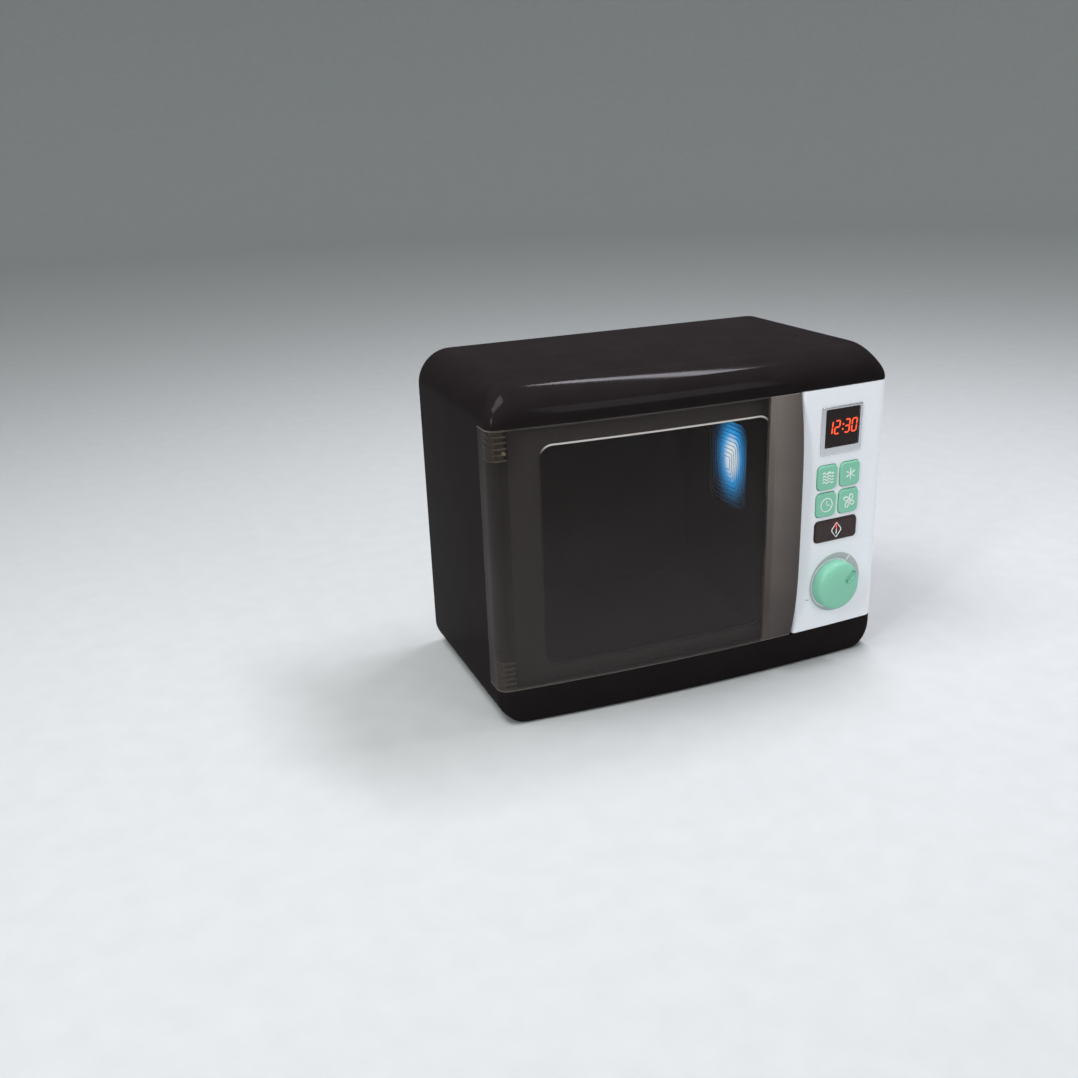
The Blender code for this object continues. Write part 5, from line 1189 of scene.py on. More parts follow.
    def tongue(self) -> Mesh:
        """The hooked tongue behind the grip that the catch holds."""
        near = BOW.front(self.tongue_x) - self.grip_rise * self.share(self.tongue_x) + FRONT_WALL - self.sink
        end = BOW.plane + self.tongue_end
        side = [(self.tongue_half, near)] + [(self.tongue_half + out, end - back) for out, back in self.hook]
        plan = [(self.tongue_x - x, y) for x, y in side[:1]] + [(self.tongue_x + x, y) for x, y in side]
        plan += [(self.tongue_x - x, y) for x, y in side[:0:-1]]
        middle = (BOW.low + BOW.high) / 2.0
        return upright(plan, (middle - self.tongue_rise, middle + self.tongue_rise))

    def build(self, stack: Growth) -> None:
        """Make the door's sheet, hinge blocks, stud and tongue."""
        placed("door_leaf", self.leaf(), DOOR_SKIN, Body.DOOR, ["door"], 38.0)
        self.hinge("lower", BOW.low, stack)
        self.hinge("upper", BOW.high - self.block_height, stack)
        x, z, radius = self.stud
        stud = [BOW.follow(circle(radius * share, 28, (x, z)), depth) for share, depth in self.stud_rings]
        placed("hinge_stud", loft(stud), STUD_SKIN, Body.DOOR)
        placed("door_tongue", self.tongue(), DOOR_SKIN, Body.DOOR)


@dataclass
class Oven:
    """The frame behind the door, the liner, the lens in its right wall and the lamp's glow."""

    left: float = -0.1032
    right: float = 0.0517
    floor: float = 0.0303
    ceiling: float = 0.1722
    wall: float = 0.0018
    back: float = 0.1210
    left_draft: float = 0.0110
    left_round: float = 0.062
    right_round: float = 0.016
    corner: float = 0.0080
    mouth: float = 0.0113
    lip: float = 0.0015
    outer_start: float = 0.006
    inner_start: float = -0.010
    cut: Triple = (0.4, 0.4, 0.01)
    cut_ahead: float = 0.05
    lens_depth: float = 0.0560
    lens_z: float = 0.1270
    lens_width: float = 0.0480
    lens_height: float = 0.0580
    lens_round: float = 0.0080
    lens_proud: float = 0.0003
    lens_flange: float = 0.0020
    lens_foot: float = 0.0016
    lens_ease: float = 0.0005
    lens_rows: Pair = (0.012, 0.0225)
    hole_ends: Pair = (-0.004, 0.006)
    ridges: int = 9
    ridge: float = 0.00034
    ridge_step: float = 0.105
    ridge_lift: float = 0.0001
    ridge_start: float = 0.002
    opening: Triple = (0.1525, 0.1395, 0.0080)
    opening_centre: Pair = (-0.02575, 0.10125)
    opening_depth: float = 0.0092
    opening_rim: float = 0.00060
    rim_step: float = 0.006

    def ring(self, depth: float, grow: float) -> Ring:
        """One rounded section of the liner at a depth, grown by its wall."""
        left_in = drawn_in(self.left_round + grow, self.back + grow - depth)
        right_in = drawn_in(self.right_round + grow, self.back + grow - depth)
        left = self.left - grow + self.left_draft * max(depth, 0.0) / self.back + left_in
        right = self.right + grow - right_in
        loop = rounded(right - left, self.ceiling - self.floor + 2.0 * grow, self.corner + grow, 12,
                       ((left + right) / 2.0, (self.ceiling + self.floor) / 2.0))
        return [Vector((x, BOW.plane + depth, z)) for x, z in loop]

    def form(self, grow: float, start: float) -> Mesh:
        """The liner's closed form, from its mouth to its rounded back."""
        turn = self.back - self.left_round
        depths = [start] + [turn + (self.left_round + grow) * math.sin(angle) for angle in quarter(24)]
        return loft([self.ring(depth, grow) for depth in depths])

    def side(self, x: float, inset: float, radius: Optional[float] = None, steps: int = 10) -> Ring:
        """The lens's outline at an x, drawn in by an inset, with its corners drawn in too or of a given radius."""
        if radius is None:
            radius = max(self.lens_round - inset, LEAST_ROUND)
        loop = rounded(self.lens_width - 2.0 * inset, self.lens_height - 2.0 * inset, radius, steps)
        return [Vector((x, BOW.plane + self.lens_depth + across, self.lens_z + up)) for across, up in loop]

    def liner(self) -> Mesh:
        """The liner with its lens opening."""
        hole = loft([self.side(self.right + end, -self.lens_proud, self.lens_round) for end in self.hole_ends])
        front = prism(rounded(*self.cut), BOW.plane - self.cut_ahead, BOW.plane + self.mouth - self.lip)
        return carved(self.form(self.wall, self.mouth - self.outer_start),
                      [front, self.form(0.0, self.inner_start), hole])

    def lens(self, ripple: Growth) -> None:
        """The lens, its fine raised lines and their glow."""
        face = self.right + self.lens_proud
        back = face + self.wall
        rings = [self.side(x, inset) for x, inset in (
            (back + self.lens_foot, -self.lens_flange), (back, -self.lens_flange), (back, 0.0),
            (face + self.lens_ease, 0.0), (face, self.lens_ease), *((face, inset) for inset in self.lens_rows))]
        centre_y = BOW.plane + self.lens_depth
        glow = Glow("lens_glow", centre=(self.right, centre_y - 0.006, self.lens_z + 0.005),
                    reach=(0.06, 0.026, 0.041), core=(0.86, 0.94, 1.0), halo=(0.02, 0.40, 0.95),
                    unlit=(0.012, 0.012, 0.016), strength=1.7)
        placed("lens", loft(rings), glow, Body.CASE, ["light_lens"])
        crest = face - self.ridge_lift
        line = edges_mesh([(self.side(crest, self.ridge_start, steps=8), True)])
        lines = ripple.grown(line, glow, Count=self.ridges, Shrink=self.ridge_step,
                             Centre=(crest, centre_y, self.lens_z), Radius=self.ridge)
        ridge = Glow("ridge_glow", centre=(self.right, centre_y - 0.004, self.lens_z + 0.003),
                     reach=(0.06, 0.032, 0.046), core=(0.55, 0.85, 1.0), halo=(0.05, 0.26, 0.52),
                     unlit=(0.20, 0.24, 0.30), strength=0.6)
        placed("lens_ridges", lines, ridge, Body.CASE)

    def rim(self, stroke: Growth) -> Mesh:
        """The rim round the opening, with a painted highlight along its top run, which follows the bow in short steps.
        """
        loop = rounded(*self.opening, 14, self.opening_centre)
        dense: Loop = []
        for (x, z), (next_x, next_z) in zip(loop, loop[1:] + loop[:1]):
            count = max(1, int(abs(next_x - x) / self.rim_step))
            dense += [(x + (next_x - x) * step / count, z + (next_z - z) * step / count) for step in range(count)]
        return stroke.grown(edges_mesh([(BOW.follow(dense, self.opening_depth), True)]), RIM_HIGHLIGHT_SKIN,
                            Radius=self.opening_rim, Sides=12)

    def build(self, stroke: Growth, ripple: Growth) -> None:
        """Make the frame, its rim, the liner and the lens."""
        placed("frame_plate", refined("front_frame", 0.0004), FRAME_SKIN, Body.CASE, ["front_frame"])
        placed("opening_rim", self.rim(stroke), RIM_HIGHLIGHT_SKIN, Body.CASE, sharp=MARK_SHARP)
        placed("liner", self.liner(), OVEN_SKIN, Body.CASE, ["oven_cavity"])
        self.lens(ripple)


@dataclass
class Panel:
    """The white control panel, its display, its dial marks and the openings for buttons and knob."""

    left: float = 0.0680
    back_edge: float = 0.0120
    slide: float = 0.0004
    shaft_hole: float = 0.0037
    cut_ahead: float = 0.010
    cut_behind: float = 0.005
    window_x: float = 0.0989
    window_z: float = 0.1590
    window_width: float = 0.0262
    window_height: float = 0.0242
    window_round: float = 0.0010
    glass: tuple[Pair, ...] = ((-0.0002, -0.0004), (0.0, -0.0002), (0.0, 0.0028), (0.0012, 0.0028), (0.0012, 0.0036))
    bezel_width: float = 0.0316
    bezel_top: float = 0.0140
    bezel_base: float = 0.0172
    bezel_round: float = 0.0011
    bezel_shift: float = 0.0002
    bezel_play: float = 0.0003
    bezel_rings: tuple[Pair, ...] = ((-0.0011, 0.0009), (-0.00109, 0.0005), (-0.00095, 0.0002), (-0.0007, 0.0),
                                     (-0.0003, 0.0))
    dial_inner: float = 0.0172
    dial_outer: float = 0.0203
    dial_shift: Pair = (0.0022, 0.0004)
    dial_print: float = 0.00006
    time_print: Pair = (-0.00038, 0.00014)
    light_print: Pair = (-0.00005, 0.00008)
    dark_print: Pair = (-0.00003, 0.00008)
    tick_angle: float = math.radians(52.0)
    tick: Triple = (0.0178, 0.0215, 0.0009)
    dark_tick: Triple = (0.0026, 0.0005, 0.0002)
    dark_tick_place: Pair = (0.0787, 0.0447)

    def plate(self) -> Mesh:
        """The panel with its openings."""
        edge, corner = edged(self.left, -1.0, self.back_edge)[::-1], wrapped(1.0)[::-1]
        path = edge + [(x, BOW.front(x)) for x in between(edge[-1][0], corner[0][0], 24)] + corner
        rows = [[Vector((x, y, z)) for x, y in path] for z in (BOW.low, BOW.high)]
        outlines = [self.window(self.slide), circle(self.shaft_hole, 32, (COLUMN_X, KNOB_Z))]
        outlines += [cap.outline(-self.slide) for cap in CAPS]
        return carved(walled(rows, FRONT_WALL),
                      [prism(outline, BOW.plane - self.cut_ahead, BOW.plane + self.cut_behind) for outline in outlines])

    def window(self, grow: float) -> Loop:
        """The display window's outline, grown all round."""
        return rounded(self.window_width + 2.0 * grow, self.window_height + 2.0 * grow, self.window_round, 6,
                       (self.window_x, self.window_z))

    def display(self) -> None:
        """The bezel, the dark window and its lit digits."""
        height = self.bezel_top + self.bezel_base
        centre = (self.window_x - self.bezel_shift, self.window_z + (self.bezel_top - self.bezel_base) / 2.0)
        rings = [BOW.follow(rounded(self.bezel_width - 2.0 * inset, height - 2.0 * inset, self.bezel_round, 6, centre),
                            depth) for depth, inset in self.bezel_rings]
        way = prism(self.window(self.bezel_play), BOW.plane - self.cut_ahead, BOW.plane + self.cut_ahead)
        placed("bezel", carved(loft(rings), [way]), SILVER, Body.CASE, ["display_bezel"])
        glass = loft([BOW.follow(self.window(grow), depth) for grow, depth in self.glass])
        placed("window", glass, WINDOW_SKIN, Body.CASE, ["display_window"])
        time = gathered(laid_on(line, *self.time_print) for line in Digits(self.window_x, self.window_z).lines())
        placed("time_digits", time, DIGITS, Body.CASE)

    def crescent(self) -> Mesh:
        """The grey crescent that shows past the knob: a print between two circles with different middles."""
        outer = circle(self.dial_outer, 120, (COLUMN_X + self.dial_shift[0], KNOB_Z + self.dial_shift[1]))
        inner = circle(self.dial_inner, 120, (COLUMN_X, KNOB_Z))
        rows = [BOW.follow(ring, -self.dial_print) for ring in (outer, inner)]
        work = bmesh.new()
        woven(work, [[work.verts.new(point) for point in row] for row in rows])
        return written(work, outwards=False)

    def marks(self) -> None:
        """The dial's crescent with its two ticks."""
        placed("dial_crescent", self.crescent(), RING_INK, Body.CASE)
        start, end, width = self.tick
        across = Vector((math.cos(self.tick_angle), math.sin(self.tick_angle)))
        side = Vector((-across.y, across.x)) * width / 2.0
        centre = Vector((COLUMN_X, KNOB_Z))
        line = [tuple(centre + across * reach + side * sense)
                for reach, sense in ((start, -1.0), (end, -1.0), (end, 1.0), (start, 1.0))]
        placed("dial_light_tick", gathered([laid_on(line, *self.light_print)]), LIGHT_INK, Body.CASE)
        dark = rounded(*self.dark_tick, 3, self.dark_tick_place)
        placed("dial_dark_tick", laid_on(dark, *self.dark_print), TICK_INK, Body.CASE)

    def build(self) -> None:
        """Make the panel and what is printed or set in it."""
        placed("panel", self.plate(), PANEL_SKIN, Body.CASE, ["control_panel"])
        self.display()
        self.marks()


BARS = {"a": (0, 1, 1, 1), "b": (1, 0.5, 1, 1), "c": (1, 0, 1, 0.5), "d": (0, 0, 1, 0), "e": (0, 0, 0, 0.5),
        "f": (0, 0.5, 0, 1), "g": (0, 0.5, 1, 0.5)}
LIT_BARS = {"0": "abcdef", "1": "bc", "2": "abged", "3": "abgcd"}


@dataclass(frozen=True)
class Digits:
    """The lit time in plain seven-bar digits, about the window's middle."""

    x: float
    z: float
    text: str = "12:30"
    wide: float = 0.0036
    tall: float = 0.0082
    bar: float = 0.00095
    trim: float = 0.62
    gap: float = 0.0020
    lean: float = 0.10
    start: float = -0.0112
    rise: float = 0.0002
    dot: float = 0.00062
    dot_x: float = 0.0007
    dot_z: float = 0.0016
    dot_step: float = 0.0022

    def bar_line(self, key: str, start: float) -> Loop:
        """The six-sided outline of one bar of a digit."""
        x0, z0, x1, z1 = BARS[key]
        left, right = start + x0 * self.wide, start + x1 * self.wide
        base = self.rise - self.tall / 2.0
        low, high = base + z0 * self.tall, base + z1 * self.tall
        half, trim = self.bar / 2.0, self.bar * self.trim
        if z0 == z1:
            return [(left + trim - half, low), (left + trim, low - half), (right - trim, low - half),
                    (right - trim + half, low), (right - trim, low + half), (left + trim, low + half)]
        return [(left, low + trim - half), (left + half, low + trim), (left + half, high - trim),
                (left, high - trim + half), (left - half, high - trim), (left - half, low + trim)]

    def lines(self) -> list[Loop]:
        """The outlines of all bars and dots, leaned to the right and set on the window."""
        lines = []
        start = self.start
        for mark in self.text:
            if mark == ":":
                lines += [circle(self.dot, 16, (start + self.dot_x, z)) for z in (-self.dot_z, self.dot_z)]
                start += self.dot_step
            else:
                lines += [self.bar_line(key, start) for key in LIT_BARS[mark]]
                start += self.wide + self.gap
        return [[(self.x + x + z * self.lean, self.z + z) for x, z in line] for line in lines]


class Icon(Enum):
    """The plain signs on the buttons."""

    WAVES = "waves"
    SNOWFLAKE = "snowflake"
    CLOCK = "clock"
    FAN = "fan"
    DIAMOND = "diamond"


@dataclass(frozen=True)
class Signs:
    """The lines of the plain signs, each about the sign's own middle and marked where it closes."""

    wave_half: float = 0.0042
    wave_length: float = 0.0040
    wave_swing: float = 0.00062
    wave_steps: int = 30
    wave_rises: tuple[float, ...] = (-0.0030, -0.0010, 0.0010, 0.0030)
    arm: float = 0.0037
    dial: float = 0.0044
    hands: tuple[Pair, ...] = ((0.0, 0.0028), (0.0, -0.0003), (0.0024, -0.0003))
    hub: float = 0.0009
    blades: int = 4
    blade_reach: float = 0.0029
    blade: Pair = (0.0018, 0.0013)
    blade_start: float = 1.0
    blade_lean: float = 0.5
    corners: tuple[Pair, ...] = ((0.0, 0.0050), (0.0036, 0.0006), (0.0036, -0.0006), (0.0, -0.0050),
                                 (-0.0036, -0.0006), (-0.0036, 0.0006))

    def lines(self, icon: Icon) -> list[Line]:
        """The lines of one sign."""
        return {Icon.WAVES: self.waves, Icon.SNOWFLAKE: self.snowflake, Icon.CLOCK: self.clock, Icon.FAN: self.fan,
                Icon.DIAMOND: self.diamond}[icon]()

    def waves(self) -> list[Line]:
        """Four waves, one above another."""
        half = self.wave_half
        steps = [-half + 2.0 * half * step / self.wave_steps for step in range(self.wave_steps + 1)]
        return [([(x, rise + self.wave_swing * math.sin(math.tau * x / self.wave_length)) for x in steps], False)
                for rise in self.wave_rises]

    def snowflake(self) -> list[Line]:
        """Three crossed lines."""
        return [([(z, -x), (0.0, 0.0), (-z, x)], False) for x, z in circle(self.arm, 6)[:3]]

    def clock(self) -> list[Line]:
        """A dial with two hands."""
        return [(circle(self.dial, 40), True), (list(self.hands), False)]

    def fan(self) -> list[Line]:
        """A hub with its blades round it."""
        wide, tall = self.blade
        lines = [(circle(self.hub, 20), True)]
        for blade in range(self.blades):
            angle = math.pi / 2.0 * blade + self.blade_start
            middle = Vector((math.cos(angle), math.sin(angle))) * self.blade_reach
            turn = Matrix.Rotation(angle + self.blade_lean, 2)
            lines.append(([tuple(middle + turn @ Vector((wide * x, tall * z))) for x, z in circle(1.0, 24)], True))
        return lines

    def diamond(self) -> list[Line]:
        """The frame of the start sign."""
        return [(list(self.corners), True)]


SIGNS = Signs()
START_BARS = (("start_bar", ICON_INK, -0.0026, 0.0004), ("start_lit_bar", RED_INK, 0.0004, 0.0030))
START_PEAK = ((-0.0020, 0.0026), (0.0, 0.0051), (0.0020, 0.0026))


@dataclass(frozen=True)
class Cap:
    """One button cap: its place, size, finish and sign."""

    body: Body
    icon: Icon
    x: float
    z: float
    width: float = 0.0153
    height: float = 0.0160
    radius: float = 0.0032
    stems: tuple[float, ...] = (0.0,)
    skin: Moulded = MINT_SKIN
    slot: Slot = Slot.MINT
    proud: float = 0.0015
    edge: float = 0.0009
    foot: float = 0.0028
    flange: float = 0.0009
    flange_foot: float = 0.0040
    stem: float = 0.0028
    stem_foot: float = 0.0036
    dish: tuple[Pair, ...] = ((0.0022, 0.00008), (0.0010, 0.00002))
    least_round: float = 0.0005
    sign_sink: float = 0.00004
    sign_line: float = 0.00040
    bar_line: float = 0.00036
    peak_line: float = 0.00031
    peak_lift: float = 0.00003

    def outline(self, inset: float) -> Loop:
        """The cap's outline, drawn in by an inset."""
        return rounded(self.width - 2.0 * inset, self.height - 2.0 * inset,
                       max(self.radius - inset, self.least_round), 8, (self.x, self.z))

    def cap(self) -> Mesh:
        """The cap with its rounded edge, its flange and its stems."""
        places = [(self.edge + inset, depth - self.proud) for inset, depth in self.dish]
        places += [(self.edge * (1.0 - math.sin(angle)), self.edge * (1.0 - math.cos(angle)) - self.proud)
                   for angle in quarter(8)]
        places += [(0.0, self.foot), (-self.flange, self.foot), (-self.flange, self.flange_foot)]
        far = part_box(self.body.value)[1].y
        stems = [prism(circle(self.stem, 20, (self.x + offset, self.z)), BOW.front(self.x) + self.stem_foot, far)
                 for offset in self.stems]
        return carved(loft([BOW.follow(self.outline(inset), depth) for inset, depth in places]), joins=stems)

    def mark(self, name: str, lines: Iterable[Line], ink: Printed, radius: float, stroke: Growth,
             lift: float = 0.0) -> None:
        """Draw lines on the cap as one raised piece.

        Args:
            name: The piece's name.
            lines: Each line about the cap's middle, and whether it closes.
            ink: Its finish.
            radius: The bead's radius.
            stroke: The tree that makes the bead.
            lift: How far the bead stands above the other marks.
        """
        depth = self.sign_sink - self.proud - lift
        paths = [(BOW.follow([(self.x + x, self.z + z) for x, z in line], depth), loops) for line, loops in lines]
        mesh = stroke.grown(edges_mesh(paths), ink, Radius=radius, Sides=8)
        placed(name, mesh, ink, self.body, sharp=MARK_SHARP)

    def build(self, stroke: Growth) -> None:
        """Make the cap and its sign, with the lit arrow on the start button."""
        placed(f"{self.body.value}_cap", self.cap(), self.skin, self.body, [self.body.value])
        self.mark(f"{self.body.value}_sign", SIGNS.lines(self.icon), ICON_INK, self.sign_line, stroke)
        if self.body is Body.START:
            for name, ink, foot, top in START_BARS:
                bar = [(0.0, foot + (top - foot) * step / 4) for step in range(5)]
                self.mark(name, [(bar, False)], ink, self.bar_line, stroke)
            self.mark("start_lit_peak", [(list(START_PEAK), False)], RED_INK, self.peak_line, stroke, self.peak_lift)


CAP_STEP = 0.00895
UPPER_ROW, LOWER_ROW, START_ROW = 0.1272, 0.1090, 0.0908
CAPS = (
    Cap(Body.WAVE, Icon.WAVES, COLUMN_X - CAP_STEP, UPPER_ROW),
    Cap(Body.SNOW, Icon.SNOWFLAKE, COLUMN_X + CAP_STEP, UPPER_ROW),
    Cap(Body.CLOCK, Icon.CLOCK, COLUMN_X - CAP_STEP, LOWER_ROW),
    Cap(Body.FAN, Icon.FAN, COLUMN_X + CAP_STEP, LOWER_ROW),
    Cap(Body.START, Icon.DIAMOND, COLUMN_X, START_ROW, 0.0332, 0.0144, 0.0028, (-0.010, 0.010), START_SKIN, Slot.START),
)


@dataclass
class Knob:
    """The mint timer knob with its recessed pointer."""

    radius: float = 0.0164
    height: float = 0.0093
    lift: float = 0.0006
    wall: float = 0.0018
    roof: float = 0.0036
    hub: float = 0.0045
    shaft: float = 0.0029
    shaft_end: float = -0.0065
    foot_ease: float = 0.0003
    pointer_angle: float = math.radians(35.0)
    pointer_start: float = 0.0056
    pointer_end: float = 0.0141
    pointer_width: float = 0.0036
    pointer_ease: float = 0.00005
    recess: tuple[Pair, ...] = ((0.0006, -0.0020), (0.0004, 0.0004), (0.0, 0.0010), (-0.0003, 0.0021))
    inlay: tuple[Pair, ...] = ((-0.0005, 0.0013), (-0.0005, 0.0023))
    lip_grow: float = 0.0007
    lip: float = 0.00030
    dome: tuple[Pair, ...] = ((0.0, 1.0), (0.25, 0.997), (0.50, 0.988), (0.66, 0.965), (0.78, 0.928), (0.865, 0.885),
                              (0.915, 0.845), (0.95, 0.795), (0.975, 0.735), (0.99, 0.66), (1.0, 0.56))

    def capsule(self, grow: float) -> Loop:
        """The pointer recess's outline, along X from the knob's middle, grown all round."""
        return rounded(self.pointer_end - self.pointer_start + 2.0 * grow, self.pointer_width + 2.0 * grow,
                       self.pointer_width / 2.0 + grow - self.pointer_ease, 10,
                       ((self.pointer_start + self.pointer_end) / 2.0, 0.0))

    def frame(self) -> Matrix:
        """The knob's frame: X to the right, Y up and Z out of the bowed front."""
        tilt = math.atan(8.0 * BOW.rise * COLUMN_X / BOW.width ** 2)
        across = Vector((math.cos(tilt), math.sin(tilt), 0.0))
        out = Vector((math.sin(tilt), -math.cos(tilt), 0.0))
        turn = Matrix((across, Vector((0.0, 0.0, 1.0)), out)).transposed().to_4x4()
        return Matrix.Translation((COLUMN_X, BOW.front(COLUMN_X), KNOB_Z)) @ turn

    def crown(self) -> list[Pair]:
        """The domed top's profile, as radius and height."""
        return [(self.radius * radius, self.lift + (self.height - self.lift) * rise) for radius, rise in self.dome]

    def body(self) -> Mesh:
        """The turned knob with its hollow underside and its shaft, in the knob's frame."""
        hollow, ceiling = self.radius - self.wall, self.height - self.roof
        profile = self.crown() + [
            (self.radius, self.lift + self.foot_ease), (self.radius - self.foot_ease, self.lift), (hollow, self.lift),
            (hollow, ceiling), (self.hub, ceiling), (self.hub, self.lift), (self.shaft, self.lift),
            (self.shaft, self.shaft_end), (0.0, self.shaft_end)]
        return turned(profile, self.frame(), 128)

    def sunk(self, rings: Iterable[Pair], turn: Matrix) -> Mesh:
        """A body of the pointer's outline through some rings, each grown and at a depth below the knob's top."""
        mesh = loft([[Vector((x, y, self.height - depth)) for x, y in self.capsule(grow)] for grow, depth in rings])
        mesh.transform(turn)
        return mesh

    def lip_line(self, turn: Matrix) -> Ring:
        """The line round the recess, laid on the dome."""
        crown = self.crown()
        line = []
        for x, y in self.capsule(self.lip_grow):
            reach = math.hypot(x, y)
            (near, low), (far, high) = next(pair for pair in zip(crown, crown[1:]) if pair[1][0] >= reach)
            line.append(turn @ Vector((x, y, low + (high - low) * (reach - near) / (far - near))))
        return line

    def build(self, stroke: Growth) -> None:
        """Make the knob, the floor of its pointer recess and the lip round it, whose darker mint is painted shade."""
        turn = self.frame() @ Matrix.Rotation(self.pointer_angle, 4, "Z")
        knob = carved(self.body(), [self.sunk(self.recess, turn)])
        placed("timer_knob", knob, MINT_SKIN, Body.KNOB, ["knob"], 36.0)
        placed("pointer_floor", self.sunk(self.inlay, turn), MINT_SKIN, Body.KNOB)
        # The lip's darker mint is painted shade along the recess's edge.
        lip = stroke.grown(edges_mesh([(self.lip_line(turn), True)]), RECESS_SHADE_SKIN, Radius=self.lip, Sides=10)
        placed("pointer_lip", lip, RECESS_SHADE_SKIN, Body.KNOB, sharp=MARK_SHARP)


@dataclass
class Back:
    """The back: cover, screws with their cross recesses, grille rims and battery door."""

    head: float = 0.0027
    head_height: float = 0.0016
    shank: float = 0.0013
    cover_screw: float = 0.0100
    hatch_screw: float = 0.0080
    grille: Pair = (0.0880, 0.1480)
    grille_rings: tuple[tuple[float, int], ...] = ((0.0052, 6), (0.0104, 12))
    rim: float = 0.0017
    rim_wall: float = 0.00028

    def screws(self, growth: Growth, label: str, names: Sequence[str], length: float, body: Body) -> None:
        """Replace a set of screws by detailed ones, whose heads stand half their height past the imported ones."""
        seats = []
        for name in names:
            middle = middle_of(name)
            seats.append((middle.x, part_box(name)[1].y - self.head_height / 2.0, middle.z))
        mesh = growth.grown(points_mesh(seats), STEEL, Head_Radius=self.head, Head_Height=self.head_height,
                            Shank_Radius=self.shank, Length=length)
        placed(label, mesh, STEEL, body, names)

    def build(self, screws: Growth, rims: Growth) -> None:
        """Make the cover, its screws, the grille's rims and the battery door."""
        placed("cover", refined("back_cover", 0.0), BACK_SKIN, Body.CASE, ["back_cover"])
        placed("battery_hatch", refined("battery_door", 0.0003), BACK_SKIN, Body.BATTERY_DOOR,
               ["battery_door"])
        self.screws(screws, "cover_screws", COVER_SCREWS, self.cover_screw, Body.CASE)
        self.screws(screws, "hatch_screw", ["battery_door_screw"], self.hatch_screw, Body.BATTERY_DOOR)
        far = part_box("back_cover")[1].y
        holes = [(0.0, 0.0)] + [hole for radius, count in self.grille_rings for hole in circle(radius, count)]
        places = [(self.grille[0] + x, far, self.grille[1] + z) for x, z in holes]
        ring = rims.grown(points_mesh(places), BACK_SKIN, Radius=self.rim, Wall=self.rim_wall)
        placed("grille_rims", ring, BACK_SKIN, Body.CASE, sharp=MARK_SHARP)


INNER_FINISHES: dict[str, object] = {
    "door_catch": WHITE_SKIN, "hinge_pin": STEEL, "frame_screw": STEEL, "board_screw": STEEL, "knob_screw": STEEL,
    "click_spring": STEEL, "contact": STEEL, "click_wheel": WHITE_SKIN, "keypad": RUBBER_SKIN,
    "circuit_board": BOARD_SKIN, "chip": START_SKIN, "display_module": START_SKIN, "start_lamp": LAMP_SKIN,
    "oven_lamp": LAMP_SKIN, "lamp_reflector": WHITE_SKIN, "speaker_clamp": WHITE_SKIN, "speaker": BACK_SKIN,
    "battery_box": BACK_SKIN, "battery_1": CELL_SKIN, "battery_2": CELL_SKIN, "battery_wire": WIRE_SKIN,
    "speaker_wire": WIRE_SKIN, "lamp_wire": WIRE_SKIN,
}


def dress_inner() -> None:
    """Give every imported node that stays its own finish."""
    for name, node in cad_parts.items():
        keys = [key for key in INNER_FINISHES if name.startswith(key)]
        dressed(node.data, INNER_FINISHES[max(keys, key=len)] if keys else BACK_SKIN)


@dataclass(frozen=True)
class Lamp:
    """A soft rectangular light: where it hangs, what it points at, its size, its power in watts and its colour."""

    name: str
    place: Triple
    aim: Triple
    size: Pair
    power: float
    colour: Colour = (1.0, 1.0, 1.0)

    def hang(self) -> None:
        """Hang the light."""
        data = bpy.data.lights.new(self.name, "AREA")
        data.shape = "RECTANGLE"
        data.size, data.size_y = self.size
        data.energy = self.power
        data.color = self.colour
        item = linked(self.name, data)
        item.location = self.place
        item.rotation_mode = "QUATERNION"
        item.rotation_quaternion = (Vector(self.aim) - Vector(self.place)).to_track_quat("-Z", "Y")


LAMPS = (
    Lamp("overhead", (0.44, 0.10, 1.15), (0.28, 0.0, 0.15), (0.64, 0.11), 13.5, (0.93, 0.92, 1.0)),
    Lamp("overhead_left", (-0.52, -0.06, 1.10), (-0.12, 0.0, 0.15), (0.50, 0.42), 8.6),
    Lamp("front_left", (-1.2, -0.75, 0.95), (-0.05, 0.0, 0.1), (0.16, 0.80), 8.6, (0.97, 0.98, 1.0)),
    Lamp("front_right", (0.7, -1.5, 0.9), (0.05, 0.0, 0.1), (0.8, 0.6), 5.6),
)


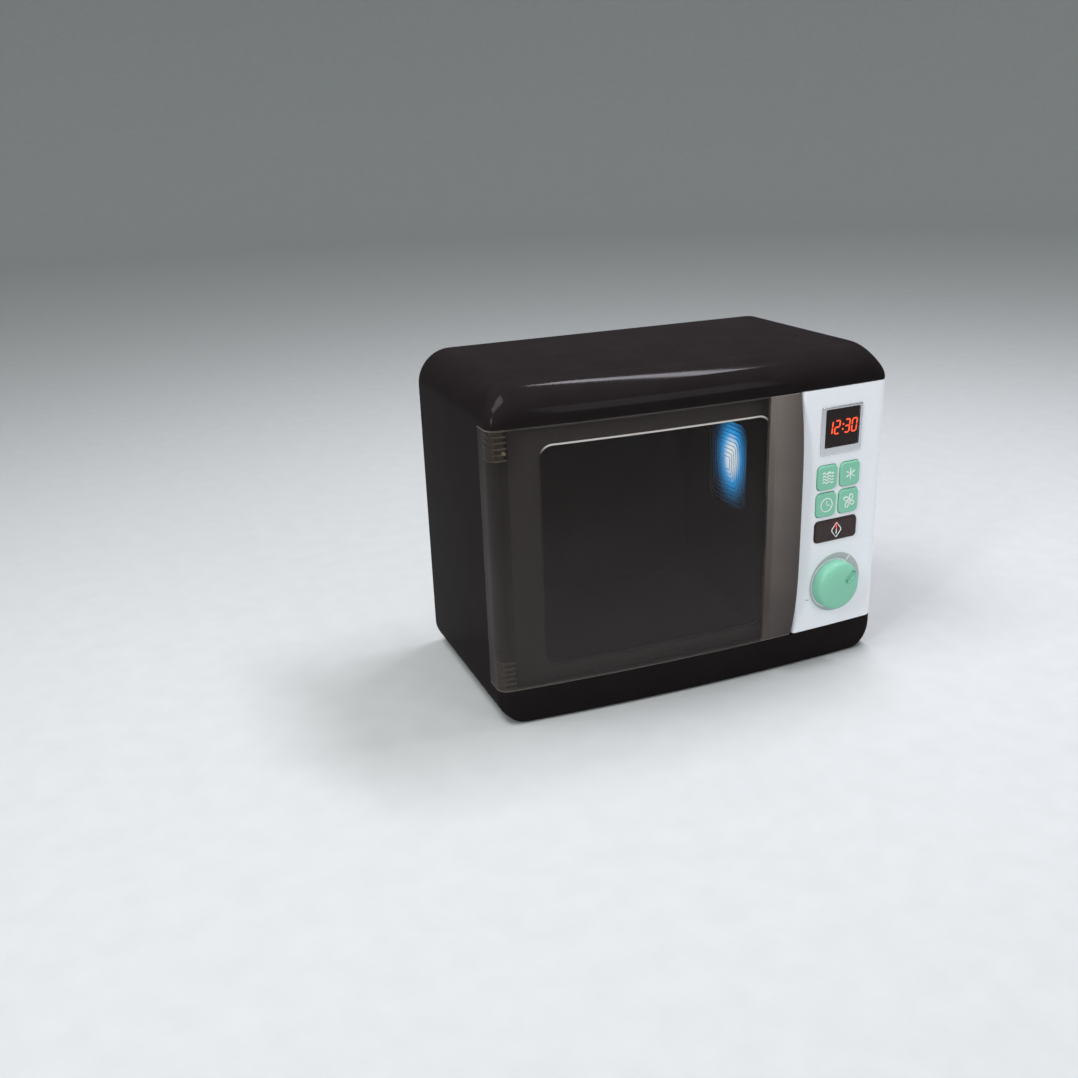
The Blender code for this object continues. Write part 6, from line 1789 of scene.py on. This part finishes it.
@dataclass
class Studio:
    """The floor, the soft lights and the camera."""

    eye: Triple = (-0.3281, -0.6362, 0.3424)
    yaw: float = 0.369
    pitch: float = 0.351
    roll: float = -0.037
    focal_share: float = 1126.0 / 1078.0
    floor_radius: float = 3.2
    sweep: float = 1.6
    sweep_steps: int = 20
    wall_height: float = 3.2
    floor_drop: float = 0.0002
    sky: Colour = (0.90, 0.95, 0.96)
    sky_strength: float = 0.62

    def camera(self) -> None:
        """Stand the camera where the photograph was taken from."""
        data = bpy.data.cameras.new("view")
        data.sensor_fit = "HORIZONTAL"
        data.sensor_width = 36.0
        data.lens = 36.0 * self.focal_share
        item = linked("view", data)
        ahead = Vector((math.sin(self.yaw) * math.cos(self.pitch), math.cos(self.yaw) * math.cos(self.pitch),
                        -math.sin(self.pitch)))
        across = Vector((math.cos(self.yaw), -math.sin(self.yaw), 0.0))
        up = across.cross(ahead)
        right = across * math.cos(self.roll) + up * math.sin(self.roll)
        top = up * math.cos(self.roll) - across * math.sin(self.roll)
        turn = Matrix((right, top, -ahead)).transposed().to_4x4()
        item.matrix_world = Matrix.Translation(self.eye) @ turn
        bpy.context.scene.camera = item

    def floor(self) -> None:
        """Lay the plain pale floor, which curves up all round the toy."""
        profile = [(1.0, 0.0)] + [
            (self.floor_radius + self.sweep * math.sin(angle), self.sweep * (1.0 - math.cos(angle)))
            for angle in quarter(self.sweep_steps)]
        profile.append((profile[-1][0], self.wall_height))
        work = bmesh.new()
        rows = [[work.verts.new((radius * x, radius * y, height - self.floor_drop)) for x, y in circle(1.0, 96)]
                for radius, height in profile]
        work.faces.new(rows[0])
        woven(work, rows)
        bmesh.ops.recalc_face_normals(work, faces=work.faces)
        if next(iter(work.faces)).normal.z < 0.0:
            bmesh.ops.reverse_faces(work, faces=work.faces)
        mesh = written(work, outwards=False)
        mesh.shade_smooth()
        item = linked("floor", mesh)
        dressed(mesh, FLOOR_SKIN)

    def build(self) -> None:
        """Set up the whole studio."""
        self.floor()
        self.camera()
        world = bpy.data.worlds.new("room")
        bpy.context.scene.world = world
        world.use_nodes = True
        sky = world.node_tree.nodes["Background"].inputs
        sky["Color"].default_value = (*self.sky, 1.0)
        sky["Strength"].default_value = self.sky_strength
        bpy.context.scene.view_settings.view_transform = "Standard"
        for lamp in LAMPS:
            lamp.hang()


def main() -> None:
    """Build the toy's looks in order."""
    logging.basicConfig(level=logging.INFO, format="%(message)s")
    stroke = stroke_tree()
    dress_inner()
    Case().build()
    Oven().build(stroke, ripple_tree())
    Door().build(stack_tree())
    Panel().build()
    for cap in CAPS:
        cap.build(stroke)
    Knob().build(stroke)
    Back().build(screw_tree(), rings_tree())
    Studio().build()


if __name__ == "__main__":
    main()
